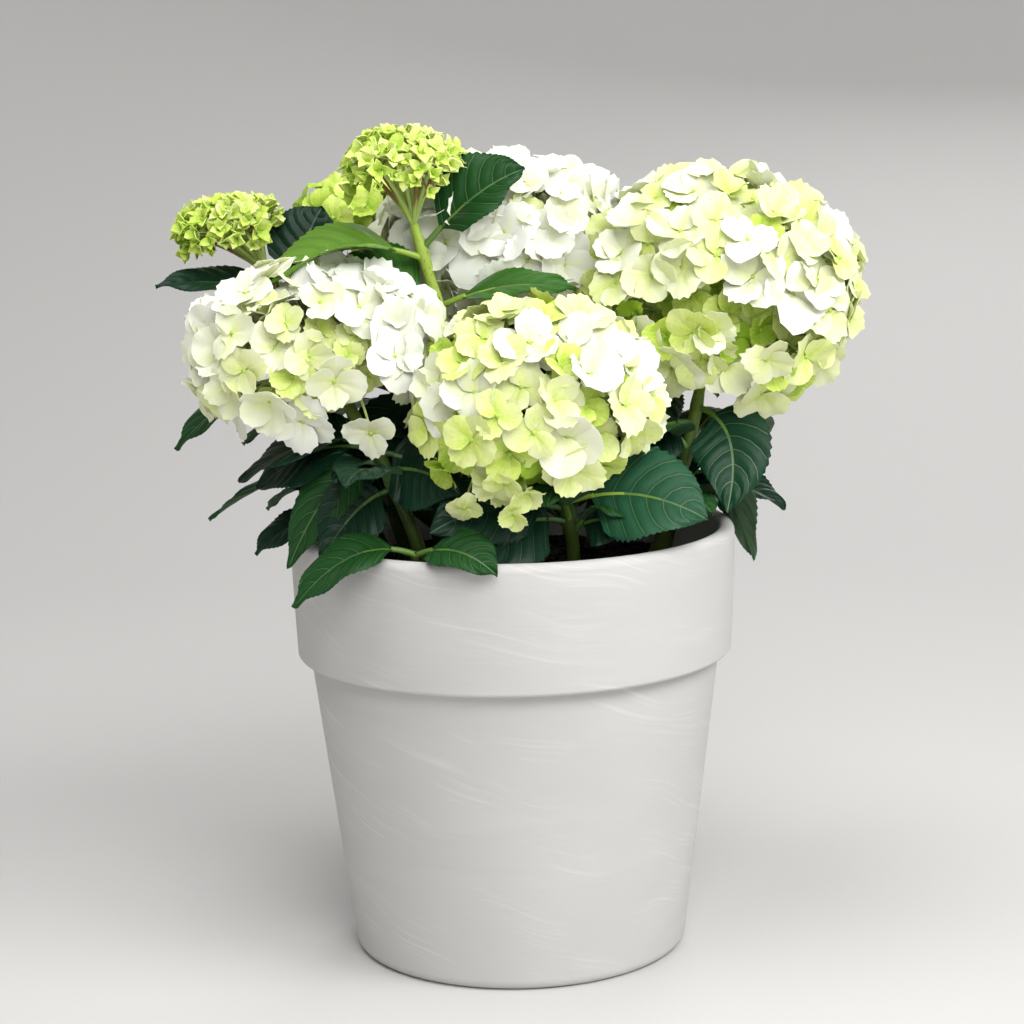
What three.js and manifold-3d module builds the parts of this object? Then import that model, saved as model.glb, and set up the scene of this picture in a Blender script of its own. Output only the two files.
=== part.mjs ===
// A mophead hydrangea in a banded clay pot: ten flowering shoots and four leafy ones rise from the
// potting mix, carry opposite leaves, and end in round heads of four-petalled florets.
// Millimetres, +Z up. The origin is the centre of the pot's flat underside, and -Y is the front.

import * as THREE from "three";
import { mergeVertices } from "three/addons/utils/BufferGeometryUtils.js";
import Module from "manifold-3d";

const wasm = await Module();
wasm.setup();

// Driving dimensions of the pot and what fills it
const RIM_RADIUS = 125;
const POT_HEIGHT = 242;
const BAND_HEIGHT = 71;
const BAND_FOOT_RADIUS = 122.8;
const WALL_TOP_RADIUS = 115.8;
const FOOT_RADIUS = 95;
const WALL = 9.5;
const FLOOR = 12;
const FOOT_ROUND = 6;
const BAND_ROUND = 4;
const POT_SIDES = 44;
const SOIL_LEVEL = 216;
const GAP = 0.3;
const NODE_GAP = 0.36;

// Driving dimensions of the plant
const STEM_FOOT_RADIUS = 4.6;
const STEM_TOP_RADIUS = 3.1;
const STEM_SIDES = 6;
const STEM_STEPS = 3;
const PETIOLE_SHARE = 0.24;
const PETIOLE_RADIUS = 1.9;
const PETIOLE_SINK = 0.05;
const LEAF_THICKNESS = 1.5;
const LEAF_FOLD = 0.28;
const LEAF_SHAPE = { base: 0.55, tip: 0.68, peak: 0.428 };
const BLADE_SHARES = [0.16, 0.42, 0.74];
const LEAF_LIFTS = [0, -6, 12, -12];
const LEAF_SLIMS = [1, 0.82, 0.66];
const PAIR_TURN_SPREAD = 16;
const PAIR_RISE_SPREAD = 14;
const PAIR_LENGTHS = [0.92, 1.08];
const PAIR_ARCHES = [9, 15];
const PAIR_TILT = 10;
const PAIR_WIDTH = 0.56;
const FLORET_PETALS = 4;
const FLORET_THICKNESS = 1.5;
const FLORET_CUP = 0.16;
const FLORET_NOTCH = 0.42;
const FLORET_STALK_RADIUS = 1.3;
const FLORET_SHAKE = 0.4;
const FLORET_SIZES = [0.9, 1.1];
const PETAL_CORNERS = [-0.24, 0.24];
const FLORET_SPREAD_DEG = 118;
const OPEN_SPREAD_DEG = 78;
const OPEN_DEPTH = 0.7;
const CORE_SIDES = [10, 6];
const CORE_SHARE = 0.84;
const CORE_SINK = 4;
const SPOKES = 6;
const SPOKE_RADIUS = 1.5;
const SPOKE_REACH = [0.55, 0.55, 0.3];
const OPEN_HEART = { wide: 0.8, tall: 0.36, lift: 0.3 };
const FULL_HEART = { wide: CORE_SHARE, tall: CORE_SHARE, lift: 0 };
const TUCKS = [1, 0.9, 0.8];
const GOLDEN_ANGLE = Math.PI * (3 - Math.sqrt(5));

const MATERIALS = {
  clay: new THREE.MeshStandardMaterial({ color: 0xd8d4cf, roughness: 0.75, metalness: 0 }),
  soil: new THREE.MeshStandardMaterial({ color: 0x2b211a, roughness: 1, metalness: 0 }),
  stem: new THREE.MeshStandardMaterial({ color: 0x5d7a35, roughness: 0.6, metalness: 0 }),
  leaf: new THREE.MeshStandardMaterial({ color: 0x1f5a2a, roughness: 0.5, metalness: 0 }),
  white: new THREE.MeshStandardMaterial({ color: 0xf3f4e4, roughness: 0.7, metalness: 0 }),
  cream: new THREE.MeshStandardMaterial({ color: 0xe9efc0, roughness: 0.7, metalness: 0 }),
  lime: new THREE.MeshStandardMaterial({ color: 0xb4d44a, roughness: 0.7, metalness: 0 }),
};

// Each shoot runs from its foot on the soil, past a bend, to the hub where its flower head branches.
// leafFrom and headFrom are shares of that way: the limb ends at the first, the leaves at the second.
// A leaf's reach is from the stem to its tip, and tilt turns its upper face towards the front.
// A pair is two opposite leaves that keep to a compass turn.
const SHOOTS = [
  {
    name: "front_left", foot: [-44, -64], bend: [-60, -68, 285], hub: [-100, -50, 336],
    leafFrom: 0.4, headFrom: 0.74,
    head: {
      centre: [-103, -46, 347], radii: [70, 60, 49], lean: [-0.25, -0.35],
      florets: 26, size: 21, material: "cream",
    },
    leaves: [
      { at: 0.56, reach: [-52, -6, -56], arch: 16, tilt: 60, width: 28 },
      { at: 0.52, reach: [42, -38, -14], arch: 12, tilt: 55, width: 44 },
      { at: 0.66, reach: [-72, 6, -22], arch: 9, tilt: 10, width: 44 },
    ],
    pairs: [{ at: 0.46, turn: 95, length: 62, rise: 8 }],
  },
  {
    name: "front_centre", foot: [32, -62], bend: [36, -74, 262], hub: [14, -74, 306],
    leafFrom: 0.3, headFrom: 0.6,
    head: {
      centre: [14, -78, 318], radii: [66, 58, 58], lean: [0, -0.5],
      florets: 25, size: 20, material: "cream",
    },
    leaves: [
      { at: 0.54, reach: [74, -27, -6], arch: 9, tilt: 58, width: 52 },
      { at: 0.5, reach: [-72, -30, -10], arch: 8, tilt: 40, width: 46 },
    ],
    pairs: [{ at: 0.4, turn: 75, length: 58, rise: 14 }],
  },
  {
    name: "right", foot: [74, -26], bend: [98, -34, 270], hub: [112, -2, 352],
    leafFrom: 0.26, headFrom: 0.77,
    head: {
      centre: [116, 5, 371], radii: [80, 74, 67], lean: [0.3, -0.1], spread: 132,
      florets: 36, size: 22, material: "cream",
    },
    leaves: [
      { at: 0.7, reach: [22, -42, -58], arch: 14, tilt: 80, width: 45 },
      { at: 0.66, reach: [-48, -26, -22], arch: 9, tilt: 50, width: 40 },
      { at: 0.4, reach: [51, 46, -42], arch: 27, tilt: 0, width: 36 },
      { at: 0.36, reach: [-50, -20, 14], arch: 8, tilt: 20, width: 42 },
      { at: 0.34, reach: [20, 60, 2], arch: 9, tilt: 0, width: 34 },
    ],
    pairs: [{ at: 0.56, turn: 62, length: 66, rise: 6 }],
  },
  {
    name: "top_centre", foot: [4, 14], bend: [8, 16, 300], hub: [-3, 26, 388],
    leafFrom: 0.2, headFrom: 0.8,
    head: {
      centre: [-3, 28, 401], radii: [70, 62, 46], lean: [-0.1, -0.2],
      florets: 25, size: 21, material: "white",
    },
    leaves: [],
    pairs: [
      { at: 0.28, turn: 200, length: 72, rise: 8 },
      { at: 0.34, turn: 65, length: 72, rise: 10 },
      { at: 0.4, turn: 110, length: 76, rise: 16 },
      { at: 0.54, turn: 20, length: 74, rise: 20 },
      { at: 0.68, turn: 105, length: 60, rise: 10 },
    ],
  },
  {
    name: "top_bud", foot: [-16, -22], bend: [-24, -38, 330], hub: [-50, -24, 412],
    leafFrom: 0.3, headFrom: 0.955,
    head: {
      centre: [-55, -25, 442], radii: [37, 35, 23], lean: [-0.1, -0.1],
      florets: 20, size: 8.5, material: "lime", open: true,
    },
    leaves: [
      { at: 0.89, reach: [-82, -30, -10], arch: 17, tilt: 6, width: 44 },
      { at: 0.92, reach: [58, -6, 46], arch: 7, tilt: 30, width: 34 },
      { at: 0.74, reach: [74, -44, 12], arch: 7, tilt: 30, width: 26 },
      { at: 0.76, reach: [-50, 6, 26], arch: 4, tilt: 30, width: 30 },
      { at: 0.4, reach: [-76, -22, -44], arch: 20, tilt: 40, width: 44 },
    ],
    pairs: [{ at: 0.52, turn: 140, length: 66, rise: 6 }],
  },
  {
    name: "left_bud", foot: [-56, -6], bend: [-90, 10, 330], hub: [-137, 35, 384],
    leafFrom: 0.3, headFrom: 0.95,
    head: {
      centre: [-152, 38, 409], radii: [38, 32, 19], lean: [-0.35, -0.1],
      florets: 19, size: 9, material: "lime", open: true,
    },
    leaves: [
      { at: 0.9, reach: [-70, -12, 6], arch: 4, tilt: 20, width: 34 },
      { at: 0.9, reach: [20, 30, 44], arch: 8, tilt: 40, width: 36 },
    ],
    pairs: [
      { at: 0.34, turn: 120, length: 64, rise: 0 },
      { at: 0.4, turn: 170, length: 66, rise: -4 },
      { at: 0.56, turn: 80, length: 66, rise: 10 },
    ],
  },
  {
    name: "back_left_lime", foot: [-42, 42], bend: [-52, 52, 320], hub: [-82, 90, 392],
    leafFrom: 0.3, headFrom: 0.84,
    head: {
      centre: [-86, 95, 408], radii: [40, 37, 28], lean: [-0.1, 0.1],
      florets: 15, size: 15, material: "lime",
    },
    leaves: [],
    pairs: [
      { at: 0.44, turn: 150, length: 74, rise: 2 },
      { at: 0.72, turn: 75, length: 70, rise: 10 },
    ],
  },
  {
    name: "left_lime", foot: [-72, 36], bend: [-104, 56, 290], hub: [-155, 82, 346],
    leafFrom: 0.24, headFrom: 0.9,
    head: {
      centre: [-158, 84, 351], radii: [24, 22, 14], lean: [-0.2, 0.2],
      florets: 9, size: 9, material: "lime",
    },
    leaves: [
      { at: 0.74, reach: [-66, -12, -36], arch: 10, tilt: 10, width: 40 },
      { at: 0.36, reach: [-78, -14, -26], arch: 8, tilt: 0, width: 30 },
    ],
    pairs: [
      { at: 0.3, turn: 115, length: 60, rise: -4 },
      { at: 0.56, turn: 80, length: 62, rise: 0 },
    ],
  },
  {
    name: "back_right", foot: [46, 52], bend: [62, 70, 300], hub: [86, 126, 348],
    leafFrom: 0.26, headFrom: 0.76,
    head: {
      centre: [90, 132, 358], radii: [57, 50, 44], lean: [0.2, 0.5],
      florets: 21, size: 19.5, material: "cream",
    },
    leaves: [],
    pairs: [
      { at: 0.28, turn: 75, length: 70, rise: -6 },
      { at: 0.36, turn: 20, length: 76, rise: 4 },
      { at: 0.52, turn: 110, length: 70, rise: 0 },
      { at: 0.64, turn: 10, length: 62, rise: -6 },
    ],
  },
  {
    name: "back_left", foot: [-24, 66], bend: [-34, 84, 290], hub: [-64, 118, 326],
    leafFrom: 0.26, headFrom: 0.74,
    head: {
      centre: [-67, 124, 337], radii: [49, 45, 38], lean: [-0.2, 0.5],
      florets: 17, size: 18.5, material: "white",
    },
    leaves: [],
    pairs: [
      { at: 0.28, turn: 105, length: 68, rise: -4 },
      { at: 0.36, turn: 60, length: 70, rise: -2 },
      { at: 0.46, turn: 15, length: 66, rise: 6 },
      { at: 0.56, turn: 150, length: 72, rise: -4 },
    ],
  },
  {
    name: "front_low", foot: [-50, -82], bend: [-52, -86, 232], hub: [-57, -96, 246],
    leafFrom: 0.5,
    leaves: [
      { at: 0.92, reach: [-64, -10, -20], arch: 13, tilt: 24, width: 30 },
      { at: 0.9, reach: [52, -36, -4], arch: 8, tilt: 12, width: 26 },
    ],
    pairs: [],
  },
  {
    name: "low_left", foot: [-82, -10], bend: [-92, -12, 245], hub: [-98, -6, 272],
    leafFrom: 0.3,
    leaves: [],
    pairs: [
      { at: 0.5, turn: 200, length: 54, rise: -10 },
      { at: 0.72, turn: 155, length: 50, rise: 0 },
      { at: 0.9, turn: 120, length: 54, rise: 4 },
    ],
  },
  {
    name: "low_right", foot: [86, 26], bend: [96, 34, 250], hub: [112, 44, 288],
    leafFrom: 0.3,
    leaves: [],
    pairs: [
      { at: 0.5, turn: 330, length: 60, rise: -4 },
      { at: 0.72, turn: 85, length: 60, rise: 2 },
      { at: 0.92, turn: 45, length: 66, rise: -4 },
    ],
  },
  {
    name: "low_back", foot: [10, 84], bend: [12, 92, 252], hub: [16, 112, 296],
    leafFrom: 0.3,
    leaves: [],
    pairs: [
      { at: 0.5, turn: 100, length: 66, rise: -4 },
      { at: 0.72, turn: 55, length: 64, rise: 2 },
      { at: 0.92, turn: 10, length: 70, rise: -2 },
    ],
  },
];

// Where each kind of repeatable number starts, so that no two kinds share one
const SEED = { shoot: 1000, pair: 100, rise: 10, length: 20, arch: 30, florets: 5000, spin: 500, size: 77 };

// A repeatable number from 0 to 1 for each whole number n
function seeded(n) {
  const wave = Math.sin(n * 12.9898 + 4.137) * 43758.5453;
  return wave - Math.floor(wave);
}

// A repeatable number between two limits
const between = ([low, high], n) => low + (high - low) * seeded(n);

const vector = (a) => new THREE.Vector3(a[0], a[1], a[2]);
const UP = new THREE.Vector3(0, 0, 1);

// Closed mesh from vertices and triangles, as a solid that can be joined and cut
function solidFrom(geometry) {
  const bare = geometry.clone();
  bare.deleteAttribute("normal");
  bare.deleteAttribute("uv");
  const merged = mergeVertices(bare, 1e-4);
  return new wasm.Manifold(
    new wasm.Mesh({
      numProp: 3,
      vertProperties: new Float32Array(merged.attributes.position.array),
      triVerts: new Uint32Array(merged.index.array),
    }),
  );
}

function solidFromTriangles(points, triangles) {
  const geometry = new THREE.BufferGeometry();
  const positions = points.flatMap((point) => point.toArray());
  geometry.setAttribute("position", new THREE.Float32BufferAttribute(positions, 3));
  geometry.setIndex(triangles.flat());
  return solidFrom(geometry);
}

// A named mesh at a place of its own, from a solid in the part's frame
function meshFrom(solid, name, material, place, groupPlace) {
  const { vertProperties, triVerts, numProp, numVert } = solid.getMesh();
  const positions = new Float32Array(numVert * 3);
  for (let i = 0; i < numVert; i += 1) {
    positions.set(vertProperties.subarray(i * numProp, i * numProp + 3), i * 3);
  }
  const geometry = new THREE.BufferGeometry();
  geometry.setAttribute("position", new THREE.BufferAttribute(positions, 3));
  geometry.setIndex(new THREE.BufferAttribute(triVerts, 1));
  geometry.translate(-place.x, -place.y, -place.z);
  const mesh = new THREE.Mesh(geometry, MATERIALS[material]);
  mesh.name = name;
  mesh.position.copy(place).sub(groupPlace);
  return mesh;
}

// Points of a quarter or half turn in the pot's section, from one angle to another
function arcPoints(centreRadius, centreHeight, radius, fromDeg, toDeg, steps) {
  return Array.from({ length: steps + 1 }, (_, i) => {
    const a = THREE.MathUtils.degToRad(fromDeg + ((toDeg - fromDeg) * i) / steps);
    return new THREE.Vector2(centreRadius + radius * Math.cos(a), centreHeight + radius * Math.sin(a));
  });
}

// The pot's inside radius at a height, on the straight run from the floor to the lip
function insideRadius(height) {
  const floorRadius = FOOT_RADIUS - WALL;
  const share = (height - FLOOR) / (POT_HEIGHT - FLOOR);
  return floorRadius + (RIM_RADIUS - WALL - floorRadius) * share;
}

function turned(profile) {
  const geometry = new THREE.LatheGeometry(profile, POT_SIDES);
  geometry.rotateX(Math.PI / 2);
  return solidFrom(geometry);
}

function potSolid() {
  const lip = WALL / 2;
  const bandFoot = POT_HEIGHT - BAND_HEIGHT;
  return turned([
    new THREE.Vector2(0, 0),
    ...arcPoints(FOOT_RADIUS - FOOT_ROUND, FOOT_ROUND, FOOT_ROUND, -90, 0, 2),
    new THREE.Vector2(WALL_TOP_RADIUS, bandFoot),
    ...arcPoints(BAND_FOOT_RADIUS - BAND_ROUND, bandFoot + BAND_ROUND, BAND_ROUND, -90, 0, 2),
    ...arcPoints(RIM_RADIUS - lip, POT_HEIGHT - lip, lip, 0, 180, 5),
    new THREE.Vector2(insideRadius(FLOOR), FLOOR),
    new THREE.Vector2(0, FLOOR),
  ]);
}

function soilSolid() {
  const shoulder = 3;
  return turned([
    new THREE.Vector2(0, FLOOR + GAP),
    new THREE.Vector2(insideRadius(FLOOR) - 2 * GAP, FLOOR + GAP),
    new THREE.Vector2(insideRadius(SOIL_LEVEL - shoulder) - 2 * GAP, SOIL_LEVEL - shoulder),
    new THREE.Vector2(insideRadius(SOIL_LEVEL) - 2 * GAP - shoulder, SOIL_LEVEL),
    new THREE.Vector2(0, SOIL_LEVEL),
  ]);
}

// A limb of round section along part of a curve. A flat foot is level, as on the soil.
function taperedLimb(curve, [from, to], radiusAt, sides, steps, flatFoot = false) {
  const points = [];
  const triangles = [];
  const side = Math.abs(curve.getTangent(from).z) > 0.8 ? new THREE.Vector3(1, 0, 0) : UP.clone();
  for (let i = 0; i <= steps; i += 1) {
    const t = from + ((to - from) * i) / steps;
    const tangent = curve.getTangent(t);
    side.addScaledVector(tangent, -side.dot(tangent)).normalize();
    const across = new THREE.Vector3().crossVectors(tangent, side);
    for (let k = 0; k < sides; k += 1) {
      const a = (2 * Math.PI * k) / sides;
      const point = curve.getPoint(t).addScaledVector(side, radiusAt(t) * Math.cos(a));
      point.addScaledVector(across, radiusAt(t) * Math.sin(a));
      if (flatFoot && i === 0) point.z = curve.getPoint(from).z;
      points.push(point);
    }
  }
  for (let i = 0; i < steps; i += 1) {
    for (let k = 0; k < sides; k += 1) {
      const a = i * sides + k;
      const b = i * sides + ((k + 1) % sides);
      triangles.push([a, b, b + sides], [a, b + sides, a + sides]);
    }
  }
  const last = steps * sides;
  for (let k = 1; k < sides - 1; k += 1) {
    triangles.push([0, k + 1, k], [last, last + k, last + k + 1]);
  }
  return solidFromTriangles(points, triangles);
}

const stemRadius = (t) => STEM_FOOT_RADIUS + (STEM_TOP_RADIUS - STEM_FOOT_RADIUS) * t;

function shootCurve(shoot) {
  const foot = new THREE.Vector3(shoot.foot[0], shoot.foot[1], SOIL_LEVEL + GAP);
  return new THREE.QuadraticBezierCurve3(foot, vector(shoot.bend), vector(shoot.hub));
}

// The stem between two shares of the shoot's way, a gap clear of the piece below it
function stemAbove(curve, from, to) {
  const clear = NODE_GAP / curve.getLength();
  return taperedLimb(curve, [from + clear, to], stemRadius, STEM_SIDES, STEM_STEPS);
}

// Half the width of a leaf at a share of its length, as a share of its greatest half width
const leafOutline = (share) =>
  (share ** LEAF_SHAPE.base * (1 - share) ** LEAF_SHAPE.tip) / LEAF_SHAPE.peak;

// The blade of a leaf: four-cornered sections folded up from the midrib, drawn to a point at each end
function bladeSolid(rib, leaf) {
  const tilt = THREE.MathUtils.degToRad(leaf.tilt);
  const face = new THREE.Vector3(0, -Math.sin(tilt), Math.cos(tilt));
  const points = [rib.getPoint(PETIOLE_SHARE)];
  for (const share of BLADE_SHARES) {
    const t = PETIOLE_SHARE + (1 - PETIOLE_SHARE) * share;
    const tangent = rib.getTangent(t);
    const normal = face.clone().addScaledVector(tangent, -face.dot(tangent)).normalize();
    const across = new THREE.Vector3().crossVectors(tangent, normal);
    const half = (leaf.width / 2) * leafOutline(share);
    const at = (sideways, up) =>
      rib.getPoint(t).addScaledVector(across, sideways).addScaledVector(normal, up);
    points.push(at(-half, LEAF_FOLD * half), at(0, LEAF_THICKNESS / 2));
    points.push(at(half, LEAF_FOLD * half), at(0, -LEAF_THICKNESS / 2));
  }
  points.push(rib.getPoint(1));
  const last = points.length - 1;
  const triangles = [];
  for (let k = 0; k < 4; k += 1) {
    const next = (k + 1) % 4;
    triangles.push([0, 1 + next, 1 + k], [last, last - 4 + k, last - 4 + next]);
    for (let row = 1; row < last - 4; row += 4) {
      triangles.push([row + k, row + next, row + 4 + next], [row + k, row + 4 + next, row + 4 + k]);
    }
  }
  return solidFromTriangles(points, triangles);
}

// One leaf: a stalk that starts inside the stem, and a blade that droops past the stalk's end
function leafSolids(curve, leaf) {
  const start = curve.getPoint(leaf.at);
  const tip = start.clone().add(vector(leaf.reach));
  const top = start.clone().lerp(tip, 0.5).addScaledVector(UP, 2 * leaf.arch);
  const rib = new THREE.QuadraticBezierCurve3(start, top, tip);
  const stalk = taperedLimb(rib, [0, PETIOLE_SHARE + PETIOLE_SINK], () => PETIOLE_RADIUS, 3, 1);
  return [stalk, bladeSolid(rib, leaf)];
}

// The ways to place a leaf, from its own shape to slimmer ones, each also raised or lowered a little
function leafWays(curve, leaf) {
  const [x, y, z] = leaf.reach;
  return LEAF_SLIMS.flatMap((slim) =>
    LEAF_LIFTS.map((lift) =>
      leafSolids(curve, { ...leaf, reach: [x, y, z + lift], width: leaf.width * slim }),
    ),
  );
}

// Two opposite leaves of a pair, each a little different
function pairLeaves(pair, seed) {
  return [0, 1].map((k) => {
    const turnDeg = pair.turn + 180 * k + PAIR_TURN_SPREAD * (seeded(seed + k) - 0.5);
    const riseDeg = pair.rise + PAIR_RISE_SPREAD * (seeded(seed + SEED.rise + k) - 0.5);
    const turn = THREE.MathUtils.degToRad(turnDeg);
    const rise = THREE.MathUtils.degToRad(riseDeg);
    const length = pair.length * between(PAIR_LENGTHS, seed + SEED.length + k);
    const out = length * Math.cos(rise);
    return {
      at: pair.at,
      reach: [out * Math.cos(turn), out * Math.sin(turn), length * Math.sin(rise)],
      arch: between(PAIR_ARCHES, seed + SEED.arch + k),
      tilt: -PAIR_TILT * Math.sin(turn),
      width: PAIR_WIDTH * length,
    };
  });
}

// One floret: petals round a centre, on a three-sided stalk whose point is sunk in the head
function floretSolid({ place, outward, spin }, radius, depth, broad) {
  const flat = Math.abs(outward.z) > 0.9 ? new THREE.Vector3(1, 0, 0) : UP;
  const side = new THREE.Vector3().crossVectors(outward, flat).normalize();
  const across = new THREE.Vector3().crossVectors(outward, side);
  const at = (reach, angle, height) =>
    place
      .clone()
      .addScaledVector(side, reach * Math.cos(angle))
      .addScaledVector(across, reach * Math.sin(angle))
      .addScaledVector(outward, height);
  const step = (2 * Math.PI) / FLORET_PETALS;
  const rim = [];
  for (let k = 0; k < FLORET_PETALS; k += 1) {
    const angle = spin + k * step;
    rim.push(at(FLORET_NOTCH * radius, angle - 0.5 * step, 0));
    for (const turn of broad ? PETAL_CORNERS : [0]) {
      rim.push(at(radius, angle + turn * step, FLORET_CUP * radius));
    }
  }
  const count = rim.length;
  const corner = (k) => at(FLORET_STALK_RADIUS, spin + (2 * Math.PI * k) / 3, -FLORET_THICKNESS);
  const stalk = [0, 1, 2].map(corner);
  const points = [...rim, at(0, 0, 0), ...stalk, at(0, 0, -depth)];
  const low = count + 1;
  const triangles = [];
  const nearest = (k) => Math.floor((3 * k) / count) % 3;
  for (let k = 0; k < count; k += 1) {
    const next = (k + 1) % count;
    triangles.push([count, k, next], [low + nearest(k), next, k]);
    if (nearest(next) !== nearest(k)) triangles.push([low + nearest(k), low + nearest(next), next]);
  }
  for (let k = 0; k < 3; k += 1) {
    triangles.push([low + ((k + 1) % 3), low + k, low + 3]);
  }
  return solidFromTriangles(points, triangles);
}

// Where the florets of a head sit: evenly over the part of an oval that faces away from the stem
function floretPlaces(head, seed) {
  const axis = new THREE.Vector3(head.lean[0], head.lean[1], 1).normalize();
  const turn = new THREE.Quaternion().setFromUnitVectors(UP, axis);
  const radii = vector(head.radii);
  const widest = head.spread ?? (head.open ? OPEN_SPREAD_DEG : FLORET_SPREAD_DEG);
  const spread = 1 - Math.cos(THREE.MathUtils.degToRad(widest));
  return Array.from({ length: head.florets }, (_, i) => {
    const cosine = 1 - (spread * (i + 0.5)) / head.florets;
    const sine = Math.sqrt(1 - cosine * cosine);
    const angle = i * GOLDEN_ANGLE;
    const way = new THREE.Vector3(sine * Math.cos(angle), sine * Math.sin(angle), cosine);
    way.applyQuaternion(turn);
    const outward = way.clone().divide(radii).normalize();
    const [x, y, z] = [0, 1, 2].map((k) => seeded(seed + 3 * i + k) - 0.5);
    outward.addScaledVector(new THREE.Vector3(x, y, z), FLORET_SHAKE).normalize();
    const spin = 2 * Math.PI * seeded(seed + SEED.spin + i);
    return { place: way.multiply(radii), outward, spin };
  });
}

// The oval heart of a head, that the florets stand out of. An open head's is a flat one near its top.
function coreSolid(head) {
  const { wide, tall, lift } = head.open ? OPEN_HEART : FULL_HEART;
  const core = new THREE.SphereGeometry(1, ...CORE_SIDES);
  core.rotateX(Math.PI / 2);
  core.scale(head.radii[0] * wide, head.radii[1] * wide, head.radii[2] * tall);
  core.translate(head.centre[0], head.centre[1], head.centre[2] + lift * head.radii[2]);
  return solidFrom(core);
}

// Spokes from the hub of an open head to its canopy
function spokeSolids({ hub, head }) {
  const start = vector(hub).addScaledVector(UP, -SPOKE_RADIUS);
  return Array.from({ length: SPOKES }, (_, i) => {
    const angle = (2 * Math.PI * i) / SPOKES;
    const out = new THREE.Vector3(Math.cos(angle), Math.sin(angle), 1).multiply(vector(SPOKE_REACH));
    const end = out.multiply(vector(head.radii)).add(vector(head.centre));
    const spoke = new THREE.QuadraticBezierCurve3(start, start.clone().lerp(end, 0.5), end);
    return taperedLimb(spoke, [0, 1], () => SPOKE_RADIUS, 3, 1);
  });
}

// What a head's florets stand out of: the end of the stem, the oval heart, and an open head's spokes
function heartPieces(shoot, curve) {
  if (!shoot.head) return [];
  const spokes = shoot.head.open ? spokeSolids(shoot) : [];
  return [stemAbove(curve, shoot.headFrom, 1), coreSolid(shoot.head), ...spokes];
}

// True if a piece keeps clear of every solid in a list
function clearOf(piece, others) {
  const box = piece.boundingBox();
  return others.every((other) => {
    const far = other.boundingBox();
    const apart = [0, 1, 2].some((k) => box.min[k] > far.max[k] || far.min[k] > box.max[k]);
    return apart || piece.intersect(other).isEmpty();
  });
}

// The first of some ways to place a few joined pieces that keeps clear of every solid in a list
function firstClear(ways, others) {
  return ways.find((pieces) => pieces.every((piece) => clearOf(piece, others))) ?? [];
}

// Pieces as one body, without loose scrap
function joined(pieces) {
  const bodies = wasm.Manifold.union(pieces).decompose();
  return bodies.reduce((best, body) => (body.volume() > best.volume() ? body : best));
}

// True where a place on one head's oval lies outside the ovals of the others
function outsideOthers(place, head) {
  const others = SHOOTS.filter((shoot) => shoot.head && shoot.head !== head).map((shoot) => shoot.head);
  return others.every((h) => place.clone().sub(vector(h.centre)).divide(vector(h.radii)).length() > 1);
}

// The leaves of every shoot that find room. Those with a set reach come first.
function leafPieces(plan, fixed) {
  const pieces = plan.map(({ stemTop }) => [stemTop]);
  const place = (index, ways) => {
    const others = pieces.filter((_, k) => k !== index).flat();
    pieces[index].push(...firstClear(ways, [...fixed, ...others]));
  };
  plan.forEach(({ shoot, curve }, index) => {
    for (const leaf of shoot.leaves) place(index, leafWays(curve, leaf));
  });
  plan.forEach(({ shoot, curve }, index) => {
    const leaves = shoot.pairs.flatMap((pair, k) => pairLeaves(pair, SEED.shoot * index + SEED.pair * k));
    for (const leaf of leaves) place(index, leafWays(curve, leaf));
  });
  return pieces;
}

// The florets of one head that find room, each on its oval or tucked in a little
function floretPieces(shoot, index, placed) {
  const { head } = shoot;
  const centre = vector(head.centre);
  const pieces = [];
  const depth = head.open
    ? OPEN_DEPTH * head.radii[2]
    : (1 - CORE_SHARE) * Math.max(...head.radii) + CORE_SINK;
  floretPlaces(head, SEED.florets + SEED.shoot * index).forEach((floret, i) => {
    const size = head.size * between(FLORET_SIZES, SEED.size * index + i);
    const ways = TUCKS.map((tuck) => {
      const place = floret.place.clone().multiplyScalar(tuck).add(centre);
      return [floretSolid({ ...floret, place }, tuck * size, depth, !head.open)];
    });
    if (outsideOthers(floret.place.clone().add(centre), head)) {
      pieces.push(...firstClear(ways, placed));
    }
  });
  return pieces;
}

// Every shoot as a group at its foot: a stem, the leaves on the stem above it, and a head of florets
function buildShoots(potAndSoil) {
  const plan = SHOOTS.map((shoot) => {
    const curve = shootCurve(shoot);
    const limb = taperedLimb(curve, [0, shoot.leafFrom], stemRadius, STEM_SIDES, STEM_STEPS, true);
    const stemTop = stemAbove(curve, shoot.leafFrom, shoot.headFrom ?? 1);
    return { shoot, curve, limb, stemTop, heart: heartPieces(shoot, curve) };
  });
  const placed = [...potAndSoil, ...plan.map(({ limb }) => limb)];
  const foliage = leafPieces(plan, [...placed, ...plan.flatMap(({ heart }) => heart)]).map(joined);
  placed.push(...foliage);
  return plan.map(({ shoot, curve, limb, heart }, index) => {
    const group = new THREE.Group();
    group.position.copy(curve.getPoint(0));
    const add = (solid, kind, material, place) => {
      group.add(meshFrom(solid, kind + "_" + shoot.name, material, place, group.position));
    };
    add(limb, "stem", "stem", curve.getPoint(0));
    add(foliage[index], "foliage", "leaf", curve.getPoint(shoot.leafFrom));
    if (shoot.head) {
      const otherHearts = plan.filter((other) => other.shoot !== shoot).flatMap((other) => other.heart);
      const bloom = joined([...heart, ...floretPieces(shoot, index, [...placed, ...otherHearts])]);
      placed.push(bloom);
      add(bloom, "bloom", shoot.head.material, vector(shoot.head.centre));
    }
    return group;
  });
}

const origin = new THREE.Vector3();
const pot = potSolid();
const soil = soilSolid();
const plant = new THREE.Group();
plant.add(meshFrom(pot, "pot", "clay", origin, origin));
plant.add(meshFrom(soil, "soil", "soil", origin, origin));
plant.add(...buildShoots([pot, soil]));

export default plant;
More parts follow.
